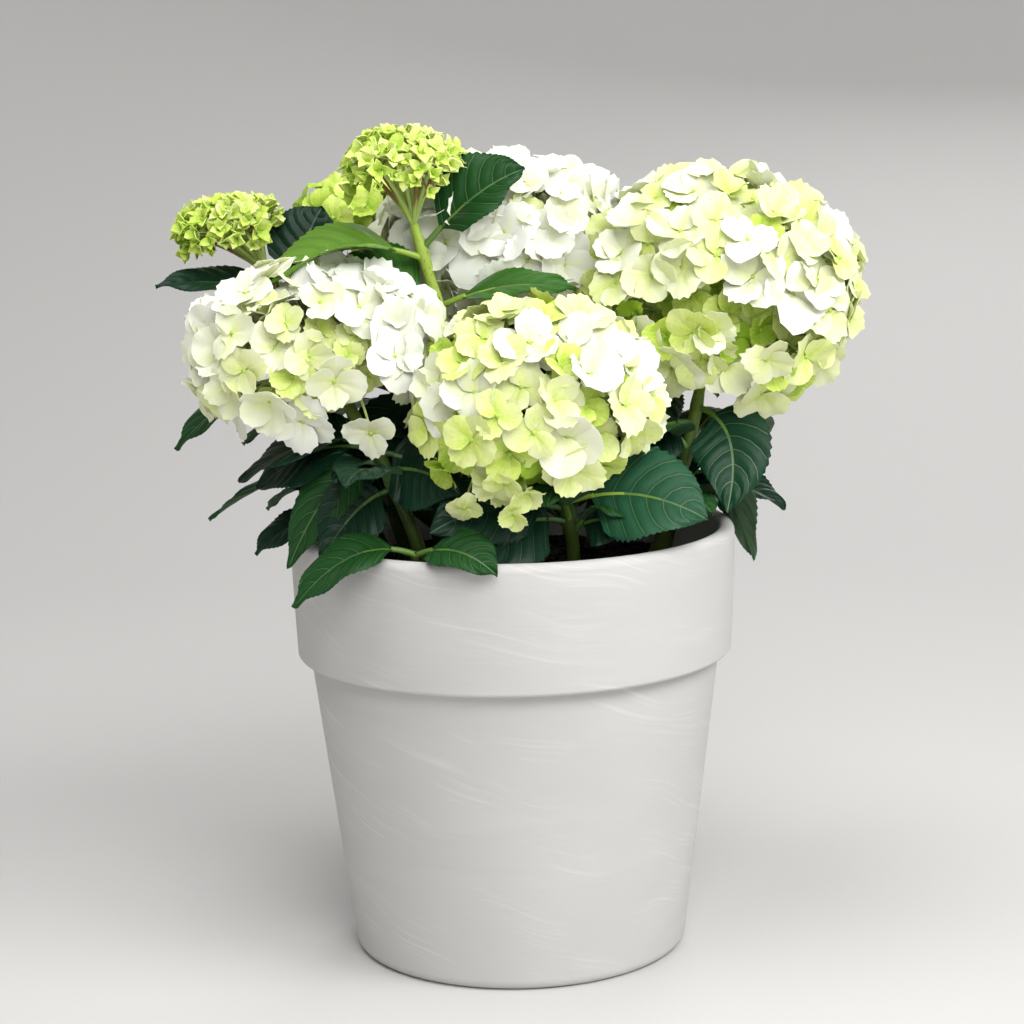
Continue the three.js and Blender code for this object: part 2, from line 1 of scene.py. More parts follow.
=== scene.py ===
# The looks of a mophead hydrangea in a banded clay pot: pot, potting mix, stems, toothed leaves and
# heads of four-petalled florets. Metres, +Z up, -Y to the front, the pot's underside at the origin.

import math
import random

import bmesh
import bpy
import numpy as np
from mathutils import Matrix, Vector


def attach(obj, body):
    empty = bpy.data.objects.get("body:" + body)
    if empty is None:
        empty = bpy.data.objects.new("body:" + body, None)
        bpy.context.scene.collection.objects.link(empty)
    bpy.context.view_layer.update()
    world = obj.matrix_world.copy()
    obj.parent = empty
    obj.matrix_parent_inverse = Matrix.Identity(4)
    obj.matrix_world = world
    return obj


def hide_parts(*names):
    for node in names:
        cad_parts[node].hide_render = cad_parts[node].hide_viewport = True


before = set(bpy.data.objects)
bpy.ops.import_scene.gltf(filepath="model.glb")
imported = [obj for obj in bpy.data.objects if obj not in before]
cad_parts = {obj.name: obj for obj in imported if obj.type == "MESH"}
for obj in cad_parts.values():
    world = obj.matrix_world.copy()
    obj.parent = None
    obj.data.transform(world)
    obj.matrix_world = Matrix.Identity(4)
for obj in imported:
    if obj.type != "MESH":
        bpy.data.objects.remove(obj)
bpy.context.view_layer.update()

# Pot and potting mix
RIM_RADIUS = 0.125
POT_HEIGHT = 0.242
BAND_HEIGHT = 0.071
BAND_FOOT_RADIUS = 0.1228
WALL_TOP_RADIUS = 0.1158
FOOT_RADIUS = 0.095
WALL = 0.0095
FLOOR = 0.012
FOOT_ROUND = 0.006
BAND_ROUND = 0.0022
BAND_SIDE = [(0.1236, 0.020), (0.1242, 0.035), (0.1247, 0.050)]
BAND_CREASE = 0.0012
WALL_RINGS = 20
INSIDE_RINGS = 12
INSIDE_TOP = POT_HEIGHT - 0.006
INSIDE_STEP = 0.02
POT_STEPS = 160
SOIL_LEVEL = 0.216
SOIL_RADIUS = 0.111
SOIL_RINGS = 24
SOIL_UNEVENNESS = 0.0016
CRUMBS = 900
MM = 0.001
GAP = 0.0003

# Stems and leaves
STEM_FOOT_RADIUS = 0.0041
STEM_TOP_RADIUS = 0.0028
NODE_SWELL = 0.22
PETIOLE_SHARE = 0.17
PETIOLE_RADIUS = 0.0015
LEAF_THICKNESS = 0.0005
LEAF_FOLD = 0.20
YOUNG_FOLD = 0.36
LEAF_TWIST_DEG = 14
YOUNG_SHADE = 3
LOW_LEAF = 0.046
LOW_LEAF_RISE_DEG = 14
PAIR_WIDTH = 0.56
LEAF_VEINS = 6
FIRST_VEIN = 0.05
VEINED_SHARE = 0.86
VEIN_SHARE = 0.0065
BLADE_ROWS = (0.22, 0.38, 0.54, 0.70, 0.85)
ROWS_PER_VEIN = 2 + len(BLADE_ROWS)
VEIN_SWEEP = 0.84
TOOTH_DEPTH = 0.028
TOOTH_SLANT = 0.006
MIDRIB_HALF = 0.0010
MIDRIB_TAPER = 0.0007
MIDRIB_RELIEF = 0.0004
QUILT_DEPTH = 0.0007
EDGE_WAVE = 0.0013

# Flower heads
FLORET_SPREAD_DEG = 122
OPEN_SPREAD_DEG = 90
GOLDEN_ANGLE = math.pi * (3 - math.sqrt(5))
OVAL_LIMIT = 1.09
CLUSTERS = 12
PETAL_FAN_DEG = 78
PETAL_COLUMNS = 14
PETAL_ROWS = 4
PETAL_THICKNESS = 0.011
PETAL_VARIANTS = 20
YOUNG_VARIANTS = 8
YOUNG_PETAL_THICKNESS = 0.06
PETAL_TINTS = 12
BEAD_KIND, STALK_KIND, RUST_KIND = range(PETAL_TINTS, PETAL_TINTS + 3)
STALK_RADIUS = 0.0006
FLORET_SHAKE = 0.36
FACING = np.array([0.05, -0.26, 0.08])
DROP_FACING = np.array([0, -0.8, -0.6])
# The side the lamps light most: florets turned away from it are tinted limer as painted shade.
BRIGHT_SIDE = np.array([0.42, -0.42, 0.80])
DEEP_SHARE = 0.2
RUSTY_SHARE = 0.45
HOLLOW_REACH = 0.025
HOLLOW_DEPTH = 0.5
HEAD_FORKS = 14

# Finishes
GRAIN_DEPTH = 0.0004
GLOSS_SPAN = 0.08
CLAY_DISTORTION = 0.6
CLAY_RELIEF = 0.22
CLAY_RELIEF_DEPTH = 0.0005
BARK_ROUGHNESS = 0.46
GREEN_TOP = POT_HEIGHT + 0.16
STREAK_SLOPE = 0.030
STREAK_DRIFT = 0.026

# Studio floor and camera
STAGE_FLAT = 1.1
STAGE_SWEEP = 2.1
STAGE_TOP = 3.0
CAMERA_PLACE = (0, -1.4, 0.4913)
CAMERA_PITCH = 0.1718
CAMERA_ROLL = -0.0218
CAMERA_FOCAL_PIXELS = 2519
PHOTO_PIXELS = 1024
SENSOR_MM = 36

# Each shoot runs from its foot on the soil, past a bend, to the hub where its flower head branches, and
# leaf_from is the share of that way where its leaves start. Turns, tilts, rises and spreads are in degrees.
# A leaf is the share of the way where it joins, the reach to its tip, its arch (a rise, or a shift on all
# three axes), the tilt of its face to the front, its width, its shade and, where it has one, its own fold.
# A pair of opposite leaves is the share of the way where it joins, its compass turn, length and rise.
# A head has a centre, radii, a lean, a number of florets, their size and the range of their tints. Its
# spread is how far round it they reach. Its florets stand back at its hollows, where they are tinted limer as
# painted shade. Its drops are single florets low on its front, each a place and a share of the size. Its chin
# says how far its foot is drawn sideways and how much it narrows there, and limer_below how much limer its
# florets are tinted towards its bottom. An open head is a fan of buds.
SHOOTS = {
    "front_left": {
        "foot": (-0.044, -0.064), "bend": (-0.060, -0.068, 0.285), "hub": (-0.100, -0.050, 0.336),
        "leaf_from": 0.4,
        "head": {
            "centre": (-0.102, -0.046, 0.349), "radii": (0.070, 0.060, 0.047), "lean": (-0.25, -0.35),
            "florets": 86, "size": 0.0184, "tints": (-1.1, 3.0), "slot": "cream_petal",
            "hollows": [(-0.073, -0.094, 0.326)],
            "drops": [(-0.073, -0.088, 0.308, 0.85)],
        },
        "leaves": [
            (0.56, (-0.052, -0.006, -0.056), 0.016, 60, 0.028, 1),
            (0.52, (0.040, -0.035, -0.008), 0.006, 76, 0.040, 0),
            (0.66, (-0.072, 0.006, -0.022), 0.009, 10, 0.044, 0),
            (0.6, (0.046, -0.008, -0.034), 0.010, 60, 0.044, 0),
            (0.62, (-0.066, 0.024, -0.024), 0.010, 44, 0.044, 0),
            (0.44, (-0.040, -0.012, -0.036), 0.008, 66, 0.034, 0),
        ],
        "pairs": [(0.46, 62, 0.062, 8)],
    },
    "front_centre": {
        "foot": (0.032, -0.062), "bend": (0.036, -0.074, 0.262), "hub": (0.014, -0.074, 0.306),
        "leaf_from": 0.3,
        "head": {
            "centre": (0.014, -0.078, 0.318), "radii": (0.066, 0.058, 0.058), "lean": (-0.1, -0.5),
            "florets": 86, "size": 0.0180, "tints": (0.4, 6.6), "slot": "cream_petal",
            "chin": (-0.016, 0.42), "limer_below": 1.2, "hollows": [(-0.014, -0.108, 0.284), (0.006, -0.118, 0.284)],
            "drops": [
                (-0.025, -0.108, 0.271, 0.64), (-0.012, -0.114, 0.262, 0.62), (0.001, -0.117, 0.268, 0.6),
                (-0.016, -0.119, 0.278, 0.64), (0.008, -0.117, 0.279, 0.62), (-0.003, -0.121, 0.285, 0.66),
            ],
        },
        "leaves": [
            (0.54, (0.074, -0.027, -0.006), 0.009, 58, 0.052, 4),
            (0.5, (-0.073, -0.030, -0.006), 0.008, 60, 0.040, 0),
            (0.42, (-0.060, -0.036, -0.016), 0.010, 62, 0.046, 0),
            (0.36, (0.034, -0.022, 0.000), 0.008, 60, 0.030, 0),
        ],
        "pairs": [(0.4, 75, 0.058, 14)],
    },
    "right": {
        "foot": (0.074, -0.026), "bend": (0.098, -0.034, 0.270), "hub": (0.112, -0.002, 0.352),
        "leaf_from": 0.26,
        "head": {
            "centre": (0.116, 0.005, 0.371), "radii": (0.080, 0.074, 0.067), "lean": (0.3, -0.1),
            "florets": 144, "size": 0.0182, "tints": (0.5, 6.3), "slot": "cream_petal",
            "spread": 132, "limer_below": 2.6,
            "hollows": [(0.082, -0.062, 0.371), (0.112, -0.068, 0.374), (0.130, -0.064, 0.354)],
            "drops": [
                (0.107, -0.077, 0.351, 0.9), (0.137, -0.060, 0.339, 0.88), (0.116, -0.056, 0.325, 0.92),
            ],
        },
        "leaves": [
            (0.72, (0.013, -0.040, -0.053), (0.010, 0, 0.010), 80, 0.040, 5),
            (0.66, (-0.048, -0.026, -0.022), 0.009, 50, 0.040, 0),
            (0.4, (0.047, 0.046, -0.050), 0.027, 0, 0.036, 2),
            (0.36, (-0.050, -0.020, 0.014), 0.008, 20, 0.042, 0),
            (0.34, (0.020, 0.060, 0.002), 0.009, 0, 0.034, 0),
        ],
        "pairs": [(0.56, 62, 0.066, 6)],
    },
    "top_centre": {
        "foot": (0.004, 0.014), "bend": (0.008, 0.016, 0.300), "hub": (-0.003, 0.026, 0.388),
        "leaf_from": 0.2,
        "head": {
            "centre": (0.001, 0.027, 0.401), "radii": (0.073, 0.062, 0.047), "lean": (-0.1, -0.2),
            "florets": 84, "size": 0.0188, "tints": (-1.4, 2.0), "slot": "white_petal",
        },
        "leaves": [],
        "pairs": [
            (0.28, 200, 0.072, 8), (0.34, 65, 0.072, 10), (0.4, 110, 0.076, 16), (0.54, 20, 0.074, 20),
            (0.68, 105, 0.060, 10),
        ],
    },
    "top_bud": {
        "foot": (-0.016, -0.022), "bend": (-0.024, -0.038, 0.330), "hub": (-0.050, -0.024, 0.412),
        "leaf_from": 0.3,
        "head": {
            "centre": (-0.055, -0.025, 0.442), "radii": (0.037, 0.035, 0.023), "lean": (-0.1, -0.1),
            "florets": 132, "size": 0.0098, "tints": (7.2, 9.2), "slot": "lime_petal", "open": True,
        },
        "leaves": [
            (0.89, (-0.086, -0.030, -0.012), 0.013, 12, 0.052, 3),
            (0.92, (0.057, -0.006, 0.043), 0.006, 36, 0.043, 1, 0.7),
            (0.74, (0.074, -0.044, 0.012), 0.007, 30, 0.026, 2),
            (0.76, (-0.050, 0.002, 0.024), 0.004, 40, 0.036, 2),
            (0.4, (-0.076, -0.022, -0.044), 0.020, 40, 0.044, 0),
        ],
        "pairs": [(0.52, 140, 0.066, 6)],
    },
    "left_bud": {
        "foot": (-0.056, -0.006), "bend": (-0.090, 0.010, 0.330), "hub": (-0.137, 0.035, 0.384),
        "leaf_from": 0.3,
        "head": {
            "centre": (-0.152, 0.038, 0.409), "radii": (0.038, 0.032, 0.019), "lean": (-0.55, -0.1),
            "florets": 120, "size": 0.0095, "tints": (7.4, 9.4), "slot": "lime_petal", "open": True,
        },
        "leaves": [
            (0.9, (-0.070, -0.012, 0.006), 0.004, 20, 0.034, 0),
            (0.86, (0.020, 0.014, 0.052), 0.006, 62, 0.040, 0),
        ],
        "pairs": [(0.34, 120, 0.064, 0), (0.4, 170, 0.066, -4), (0.56, 80, 0.066, 10)],
    },
    "back_left_lime": {
        "foot": (-0.042, 0.042), "bend": (-0.052, 0.052, 0.320), "hub": (-0.082, 0.090, 0.392),
        "leaf_from": 0.3,
        "head": {
            "centre": (-0.086, 0.095, 0.408), "radii": (0.040, 0.037, 0.028), "lean": (-0.1, 0.1),
            "florets": 48, "size": 0.0128, "tints": (7.0, 9.8), "slot": "lime_petal",
        },
        "leaves": [],
        "pairs": [(0.44, 150, 0.074, 2), (0.72, 75, 0.070, 10)],
    },
    "left_lime": {
        "foot": (-0.072, 0.036), "bend": (-0.104, 0.056, 0.290), "hub": (-0.155, 0.082, 0.346),
        "leaf_from": 0.24,
        "head": {
            "centre": (-0.158, 0.084, 0.351), "radii": (0.024, 0.022, 0.014), "lean": (-0.2, 0.2),
            "florets": 26, "size": 0.0085, "tints": (7.4, 10.0), "slot": "lime_petal",
        },
        "leaves": [
            (0.74, (-0.066, -0.012, -0.036), 0.010, 10, 0.040, 1),
            (0.36, (-0.078, -0.014, -0.026), 0.008, 0, 0.030, 1),
        ],
        "pairs": [(0.3, 115, 0.060, -4), (0.56, 80, 0.062, 0)],
    },
    "back_right": {
        "foot": (0.046, 0.052), "bend": (0.062, 0.070, 0.300), "hub": (0.086, 0.126, 0.348),
        "leaf_from": 0.26,
        "head": {
            "centre": (0.090, 0.132, 0.358), "radii": (0.057, 0.050, 0.044), "lean": (0.2, 0.5),
            "florets": 66, "size": 0.0176, "tints": (1.0, 6.4), "slot": "cream_petal",
        },
        "leaves": [],
        "pairs": [(0.28, 75, 0.070, -6), (0.36, 20, 0.076, 4), (0.52, 110, 0.070, 0), (0.64, 10, 0.062, -6)],
    },
    "back_left": {
        "foot": (-0.024, 0.066), "bend": (-0.034, 0.084, 0.290), "hub": (-0.064, 0.118, 0.326),
        "leaf_from": 0.26,
        "head": {
            "centre": (-0.067, 0.124, 0.337), "radii": (0.049, 0.045, 0.038), "lean": (-0.2, 0.5),
            "florets": 52, "size": 0.0168, "tints": (0.2, 4.4), "slot": "white_petal",
        },
        "leaves": [],
        "pairs": [
            (0.28, 105, 0.068, -4), (0.36, 60, 0.070, -2), (0.46, 15, 0.066, 6), (0.56, 150, 0.072, -4),
        ],
    },
    "front_low": {
        "foot": (-0.050, -0.082), "bend": (-0.052, -0.086, 0.232), "hub": (-0.051, -0.097, 0.245),
        "leaves": [
            (0.92, (-0.065, -0.009, -0.025), 0.014, 17, 0.033, 1),
            (0.9, (0.043, -0.038, -0.004), 0.008, 26, 0.029, 1),
        ],
        "pairs": [],
    },
    "low_left": {
        "foot": (-0.082, -0.010), "bend": (-0.092, -0.012, 0.245), "hub": (-0.098, -0.006, 0.272),
        "leaves": [],
        "pairs": [(0.5, 200, 0.054, -10), (0.72, 155, 0.050, 0), (0.9, 120, 0.054, 4)],
    },
    "low_right": {
        "foot": (0.086, 0.026), "bend": (0.096, 0.034, 0.250), "hub": (0.112, 0.044, 0.288),
        "leaves": [],
        "pairs": [(0.5, 330, 0.060, -4), (0.72, 85, 0.060, 2), (0.92, 45, 0.066, -4)],
    },
    "low_back": {
        "foot": (0.010, 0.084), "bend": (0.012, 0.092, 0.252), "hub": (0.016, 0.112, 0.296),
        "leaves": [],
        "pairs": [(0.5, 100, 0.066, -4), (0.72, 55, 0.064, 2), (0.92, 10, 0.070, -2)],
    },
}


def unit(v):
    """A direction of length 1."""
    return v / np.linalg.norm(v, axis=-1, keepdims=True)


class Way:
    """A smooth way from start, drawn towards bend, to end."""

    def __init__(self, start, bend, end):
        self.start, self.bend, self.end = (np.array(p, float) for p in (start, bend, end))

    def at(self, t):
        t = np.asarray(t, float)[..., None]
        return (1 - t) ** 2 * self.start + 2 * t * (1 - t) * self.bend + t**2 * self.end

    def heading(self, t):
        t = np.asarray(t, float)[..., None]
        return unit((1 - t) * (self.bend - self.start) + t * (self.end - self.bend))


class Stock:
    """Many small shapes, gathered into one mesh."""

    def __init__(self):
        self.points, self.triangles, self.kinds, self.count = [], [], [], 0

    def add(self, points, triangles, kinds):
        self.points.append(points)
        self.triangles.append(triangles + self.count)
        self.kinds.append(kinds)
        self.count += len(points)

    def piece(self, name, materials, sharp_deg=50):
        points = np.concatenate(self.points).astype(np.float32)
        triangles = np.concatenate(self.triangles).astype(np.int32)
        kinds = np.concatenate(self.kinds).astype(np.int32)
        mesh = bpy.data.meshes.new(name)
        mesh.vertices.add(len(points))
        mesh.vertices.foreach_set("co", points.ravel())
        mesh.loops.add(triangles.size)
        mesh.loops.foreach_set("vertex_index", triangles.ravel())
        mesh.polygons.add(len(triangles))
        mesh.polygons.foreach_set("loop_start", np.arange(0, triangles.size, 3, dtype=np.int32))
        for material in materials:
            mesh.materials.append(material)
        mesh.polygons.foreach_set("material_index", kinds)
        mesh.update(calc_edges=True)
        return finished(name, mesh, sharp_deg)


def finished(name, mesh, sharp_deg):
    """An object of a mesh, smooth except at its sharp edges."""
    mesh.polygons.foreach_set("use_smooth", np.ones(len(mesh.polygons), bool))
    mesh.set_sharp_from_angle(angle=math.radians(sharp_deg))
    piece = bpy.data.objects.new(name, mesh)
    bpy.context.scene.collection.objects.link(piece)
    return piece


def arrays(bm):
    """A worked mesh as arrays of points and triangles, facing outwards."""
    bmesh.ops.remove_doubles(bm, verts=bm.verts, dist=1e-6)
    bmesh.ops.recalc_face_normals(bm, faces=bm.faces)
    bmesh.ops.triangulate(bm, faces=bm.faces)
    bm.verts.index_update()
    points = np.array([v.co for v in bm.verts])
    triangles = np.array([[v.index for v in f.verts] for f in bm.faces])
    bm.free()
    return points, triangles


def unit_tube(sides, rings):
    """A tube of radius 1 from height 0 to height 1, closed at both ends."""
    bm = bmesh.new()
    bmesh.ops.create_circle(bm, cap_ends=True, segments=sides, radius=1.0)
    edges = bm.edges[:]
    for _ in range(rings):
        grown = bmesh.ops.extrude_edge_only(bm, edges=edges)["geom"]
        verts = [g for g in grown if isinstance(g, bmesh.types.BMVert)]
        bmesh.ops.translate(bm, verts=verts, vec=(0, 0, 1 / rings))
        edges = [g for g in grown if isinstance(g, bmesh.types.BMEdge) and all(v in verts for v in g.verts)]
    bmesh.ops.edgeloop_fill(bm, edges=edges)
    return arrays(bm)


def sheet_grid(across, along):
    """A flat sheet with thickness: x is -1 to 1 across, y is 0 to 1 along, and z is 0 or 1."""
    bm = bmesh.new()
    bmesh.ops.create_grid(bm, x_segments=len(across) - 1, y_segments=len(along) - 1, size=0.5)
    for v in bm.verts:
        v.co.x = across[round((v.co.x + 0.5) * (len(across) - 1))]
        v.co.y = along[round((v.co.y + 0.5) * (len(along) - 1))]
    grown = bmesh.ops.extrude_face_region(bm, geom=bm.faces[:], use_keep_orig=True)["geom"]
    bmesh.ops.translate(bm, verts=[g for g in grown if isinstance(g, bmesh.types.BMVert)], vec=(0, 0, 1))
    return arrays(bm)


def bent_tube(tube, way, span, radius_at):
    """A unit tube bent along part of a way."""
    points, triangles = tube
    t = span[0] + (span[1] - span[0]) * points[:, 2]
    heading = way.heading(t)
    chord = way.at(span[1]) - way.at(span[0])
    side = np.eye(3)[np.argmin(np.abs(chord))]
    side = unit(side - heading * (heading @ side)[:, None])
    across = np.cross(heading, side)
    radius = np.asarray(radius_at(t))[..., None]
    return way.at(t) + radius * (points[:, :1] * side + points[:, 1:2] * across), triangles


class Finish:
    """A material in the making, with the nodes that drive its shader."""

    def __init__(self, name, **sockets):
        self.material = bpy.data.materials.new(name)
        self.material.use_nodes = True
        self.shader = self.material.node_tree.nodes["Principled BSDF"]
        self.feed(self.shader, {socket.replace("_", " "): value for socket, value in sockets.items()})

    def feed(self, node, inputs):
        """Values and links into a node's inputs."""
        for key, value in inputs.items():
            if isinstance(value, bpy.types.NodeSocket):
                self.material.node_tree.links.new(value, node.inputs[key])
            else:
                node.inputs[key].default_value = value

    def node(self, kind, output, inputs, **settings):
        """An output of a new node with these inputs and settings."""
        node = self.material.node_tree.nodes.new("ShaderNode" + kind)
        for name, value in settings.items():
            setattr(node, name, value)
        self.feed(node, inputs)
        return node.outputs[output]

    def place(self):
        """Where a point lies on the piece."""
        return self.node("TexCoord", "Object", {})

    def parts(self, vector):
        """The x, y and z of a vector."""
        return self.node("SeparateXYZ", "X", {"Vector": vector}).node.outputs

    def stretched(self, vector, scale, turn=0.0):
        return self.node("Mapping", "Vector", {"Vector": vector, "Scale": scale, "Rotation": (0, turn, 0)})

    def noise(self, vector, scale, detail, distortion=0.0):
        inputs = {"Vector": vector, "Scale": scale, "Detail": detail, "Distortion": distortion}
        return self.node("TexNoise", "Fac", inputs)

    def figure(self, operation, *values):
        """What a sum makes of its values."""
        return self.node("Math", "Value", dict(enumerate(values)), operation=operation)

    def mix(self, factor, first, second, blend_type="MIX"):
        inputs = {"Factor": factor, 6: first, 7: second}
        return self.node("Mix", 2, inputs, data_type="RGBA", blend_type=blend_type)

    def ramp(self, value, *stops):
        """Colours along a value, each stop a place and a colour."""
        colour = self.node("ValToRGB", "Color", {"Fac": value})
        elements = colour.node.color_ramp.elements
        for _ in stops[2:]:
            elements.new(0.5)
        for element, (position, stop_colour) in zip(elements, stops):
            element.position = position
            element.color = (*stop_colour, 1)
        return colour

    def roughen(self, height, strength, depth, pattern, least, most):
        """Relief from a height, and a roughness that runs from least to most over a pattern."""
        relief = self.node("Bump", "Normal", {"Height": height, "Strength": strength, "Distance": depth})
        gloss = self.node("MapRange", "Result", {"Value": pattern, "To Min": least, "To Max": most})
        self.feed(self.shader, {"Normal": relief, "Roughness": gloss})

    def add_grain(self, strength, scale, roughness):
        fleck = self.noise(self.place(), scale, 3)
        self.roughen(fleck, strength, GRAIN_DEPTH, fleck, roughness - GLOSS_SPAN, roughness + GLOSS_SPAN)


def plain(name, colour, roughness, grain=0.0, scale=600, **sockets):
    """A material of one base colour, with a fine grain in its relief and gloss where one is given."""
    finish = Finish(name, Base_Color=(*colour, 1), Roughness=roughness, **sockets)
    if grain:
        finish.add_grain(grain, scale, roughness)
    return finish.material


BLACK = (0, 0, 0)


def grey(level):
    return (level, level, level)


def clay():
    """Washed clay: warm grey with faint turning lines, whitish wisps and pale streaks of wash."""
    finish = Finish("washed_clay", Specular_IOR_Level=0.3)
    place = finish.place()

    def noise(scale, stretch, detail, turn=0.0):
        return finish.noise(finish.stretched(place, stretch, turn), scale, detail, CLAY_DISTORTION)

    def drawn(around, around_scale, up, up_scale, detail):
        """Noise on the pot's unrolled side."""
        spot = {
            "X": finish.figure("MULTIPLY", around, around_scale),
            "Y": finish.figure("MULTIPLY", up, up_scale),
        }
        return finish.noise(finish.node("CombineXYZ", "Vector", spot), 1, detail)

    x, y, z = finish.parts(place)
    angle = finish.figure("ARCTAN2", x, finish.figure("MULTIPLY", y, -1.0))
    slope = finish.figure("MULTIPLY_ADD", angle, STREAK_SLOPE, z)
    drift = drawn(angle, 1.6, slope, 13.0, 1)
    swept = finish.figure("MULTIPLY_ADD", drift, STREAK_DRIFT, slope)
    streaks = finish.ramp(drawn(angle, 1.1, swept, 420.0, 6), (0.50, BLACK), (0.68, grey(1)))
    patches = finish.ramp(drawn(angle, 1.2, swept, 30.0, 4), (0.48, BLACK), (0.62, grey(0.62)))
    faint = finish.mix(1.0, patches, streaks, "MULTIPLY")
    wisps = finish.ramp(noise(6, (1, 1, 6), 8, 0.24), (0.50, BLACK), (0.80, grey(0.5)))
    body = finish.ramp(noise(9, (1, 1, 1.6), 6), (0.3, (0.500, 0.491, 0.480)), (0.7, (0.530, 0.522, 0.511)))
    washed = finish.mix(wisps, body, (0.570, 0.564, 0.555, 1))
    finish.feed(finish.shader, {"Base Color": finish.mix(faint, washed, (0.64, 0.635, 0.628, 1))})
    grain = noise(420, (1, 1, 1), 4)
    relief = finish.figure("MULTIPLY_ADD", grain, 0.35, noise(26, (0.12, 0.12, 14), 3))
    finish.roughen(relief, CLAY_RELIEF, CLAY_RELIEF_DEPTH, grain, 0.62, 0.82)
    return finish.material


def blend_colour(a, b, share):
    return tuple(x + (y - x) * share for x, y in zip(a, b))


def petal_paints():
    """Petal shades from paper white through cream to lime."""
    stops = [
        (0.815, 0.832, 0.752), (0.79, 0.815, 0.59), (0.73, 0.795, 0.335), (0.56, 0.71, 0.12),
        (0.31, 0.50, 0.035),
    ]
    paints = []
    for k in range(PETAL_TINTS):
        place = k / (PETAL_TINTS - 1) * (len(stops) - 1)
        low = min(int(place), len(stops) - 2)
        colour = blend_colour(stops[low], stops[low + 1], place - low)
        paints.append(plain(
            "petal_%d" % k, colour, 0.55, 0.30, 420,
            Subsurface_Weight=0.15, Subsurface_Radius=(0.0016, 0.0017, 0.0007), Subsurface_Scale=1.0,
            Specular_IOR_Level=0.25,
        ))
    return paints


PETALS = petal_paints()
BEAD = plain("floret_bead", (0.40, 0.58, 0.10), 0.45, 0.1, 900)
STALK = plain("floret_stalk", (0.42, 0.54, 0.14), 0.5, 0.15, 500)
RUST = plain("rusty_stalk", (0.25, 0.12, 0.045), 0.55, 0.15, 500)
# Leaf tones, each with a darker twin for the blade beside the veins and the midrib, that twin painted shade.
# Fresh and young are the greens of younger leaves and mid a mid green. Deep and dusk are dark greens painted
# darker still, as painted shade, for leaves that lie in shade, and blue is a blue-green painted lighter for a
# leaf in the light.
BLADE_TONES = [
    ("deep", (0.0056, 0.028, 0.0135)), ("deep_painted_shade", (0.0044, 0.022, 0.0105)),
    ("mid", (0.011, 0.057, 0.012)), ("mid_painted_shade", (0.009, 0.046, 0.010)),
    ("fresh", (0.036, 0.125, 0.015)), ("fresh_painted_shade", (0.029, 0.102, 0.012)),
    ("young", (0.105, 0.225, 0.021)), ("young_painted_shade", (0.088, 0.192, 0.018)),
    ("blue", (0.0170, 0.077, 0.037)), ("blue_painted_shade", (0.0130, 0.062, 0.030)),
    ("dusk", (0.0066, 0.040, 0.018)), ("dusk_painted_shade", (0.0052, 0.032, 0.0145)),
]
BLADES = [
    plain("blade_" + tone, colour, 0.40, 0.4, 850, Specular_IOR_Level=0.17) for tone, colour in BLADE_TONES
]
VEINS = [
    plain("vein_faint", (0.013, 0.052, 0.021), 0.45, 0.2, 700),
    plain("vein_pale", (0.052, 0.128, 0.034), 0.45, 0.2, 700),
    plain("vein_soft", (0.095, 0.19, 0.030), 0.45, 0.2, 700),
    plain("vein_bright", (0.27, 0.42, 0.055), 0.45, 0.2, 700),
]
# The side veins, the far midrib and the near midrib of a leaf of each shade, as places in VEINS. The deep
# leaves, painted dark as shade, also get faint side veins and a duller stalk.
VEIN_LEVELS = [(0, 1, 2), (1, 1, 2), (1, 2, 3), (2, 2, 3), (1, 2, 3), (1, 1, 2)]
# The grey underside is a grey-green painted darker as painted shade. The bright one is a young leaf's own.
UNDERSIDES = [
    plain("underside_grey", (0.034, 0.088, 0.032), 0.6, 0.3, 600),
    plain("underside_bright", (0.22, 0.36, 0.07), 0.6, 0.3, 600),
]
SOIL = plain("potting_mix", (0.018, 0.012, 0.009), 0.95, 0.8, 260, Specular_IOR_Level=0.08)
CRUMB = plain("bark_crumb", (0.040, 0.024, 0.014), 0.9, 0.6, 300, Specular_IOR_Level=0.15)


def speckled_bark():
    """Smooth bark that turns from dark to bright green up the plant, the dark low part partly older bark and
    partly painted shade under the leaves, with small long dark specks.
    """
    low, middle, high = (0.028, 0.050, 0.006), (0.055, 0.100, 0.012), (0.32, 0.45, 0.065)
    bark = Finish("stem_green", Base_Color=(*middle, 1), Roughness=BARK_ROUGHNESS, Specular_IOR_Level=0.25)
    bark.add_grain(0.3, 500, BARK_ROUGHNESS)
    place = bark.place()
    height = {"Value": bark.parts(place)["Z"], "From Min": SOIL_LEVEL, "From Max": GREEN_TOP}
    # Darker towards the soil: partly the older bark, partly painted shade under the crown.
    green = bark.ramp(bark.node("MapRange", "Result", height), (0.0, low), (0.42, middle), (0.8, high))
    spots = bark.noise(bark.stretched(place, (1, 1, 0.4)), 1500, 1)
    total = bark.figure("MULTIPLY_ADD", bark.noise(place, 60, 2), 0.35, spots)
    share = bark.node("MapRange", "Result", {"Value": total, "From Min": 0.81, "From Max": 0.90})
    bark.feed(bark.shader, {"Base Color": bark.mix(share, green, (0.05, 0.025, 0.018, 1))})
    return bark.material


STEM = speckled_bark()

TUBE_STEM = unit_tube(12, 22)
TUBE_PETIOLE = unit_tube(7, 8)
TUBE_STALK = unit_tube(5, 4)


def bead():
    """A small ball of radius 1."""
    bm = bmesh.new()
    bmesh.ops.create_icosphere(bm, subdivisions=1, radius=1.0)
    return arrays(bm)


BEAD_SHAPE = bead()


# Pot and potting mix

def arc(radius, height, round_radius, start_deg, end_deg, steps):
    """Places along an arc of a half section, each a radius and a height."""
    for k in range(steps + 1):
        a = math.radians(start_deg + (end_deg - start_deg) * k / steps)
        yield radius + round_radius * math.cos(a), height + round_radius * math.sin(a)


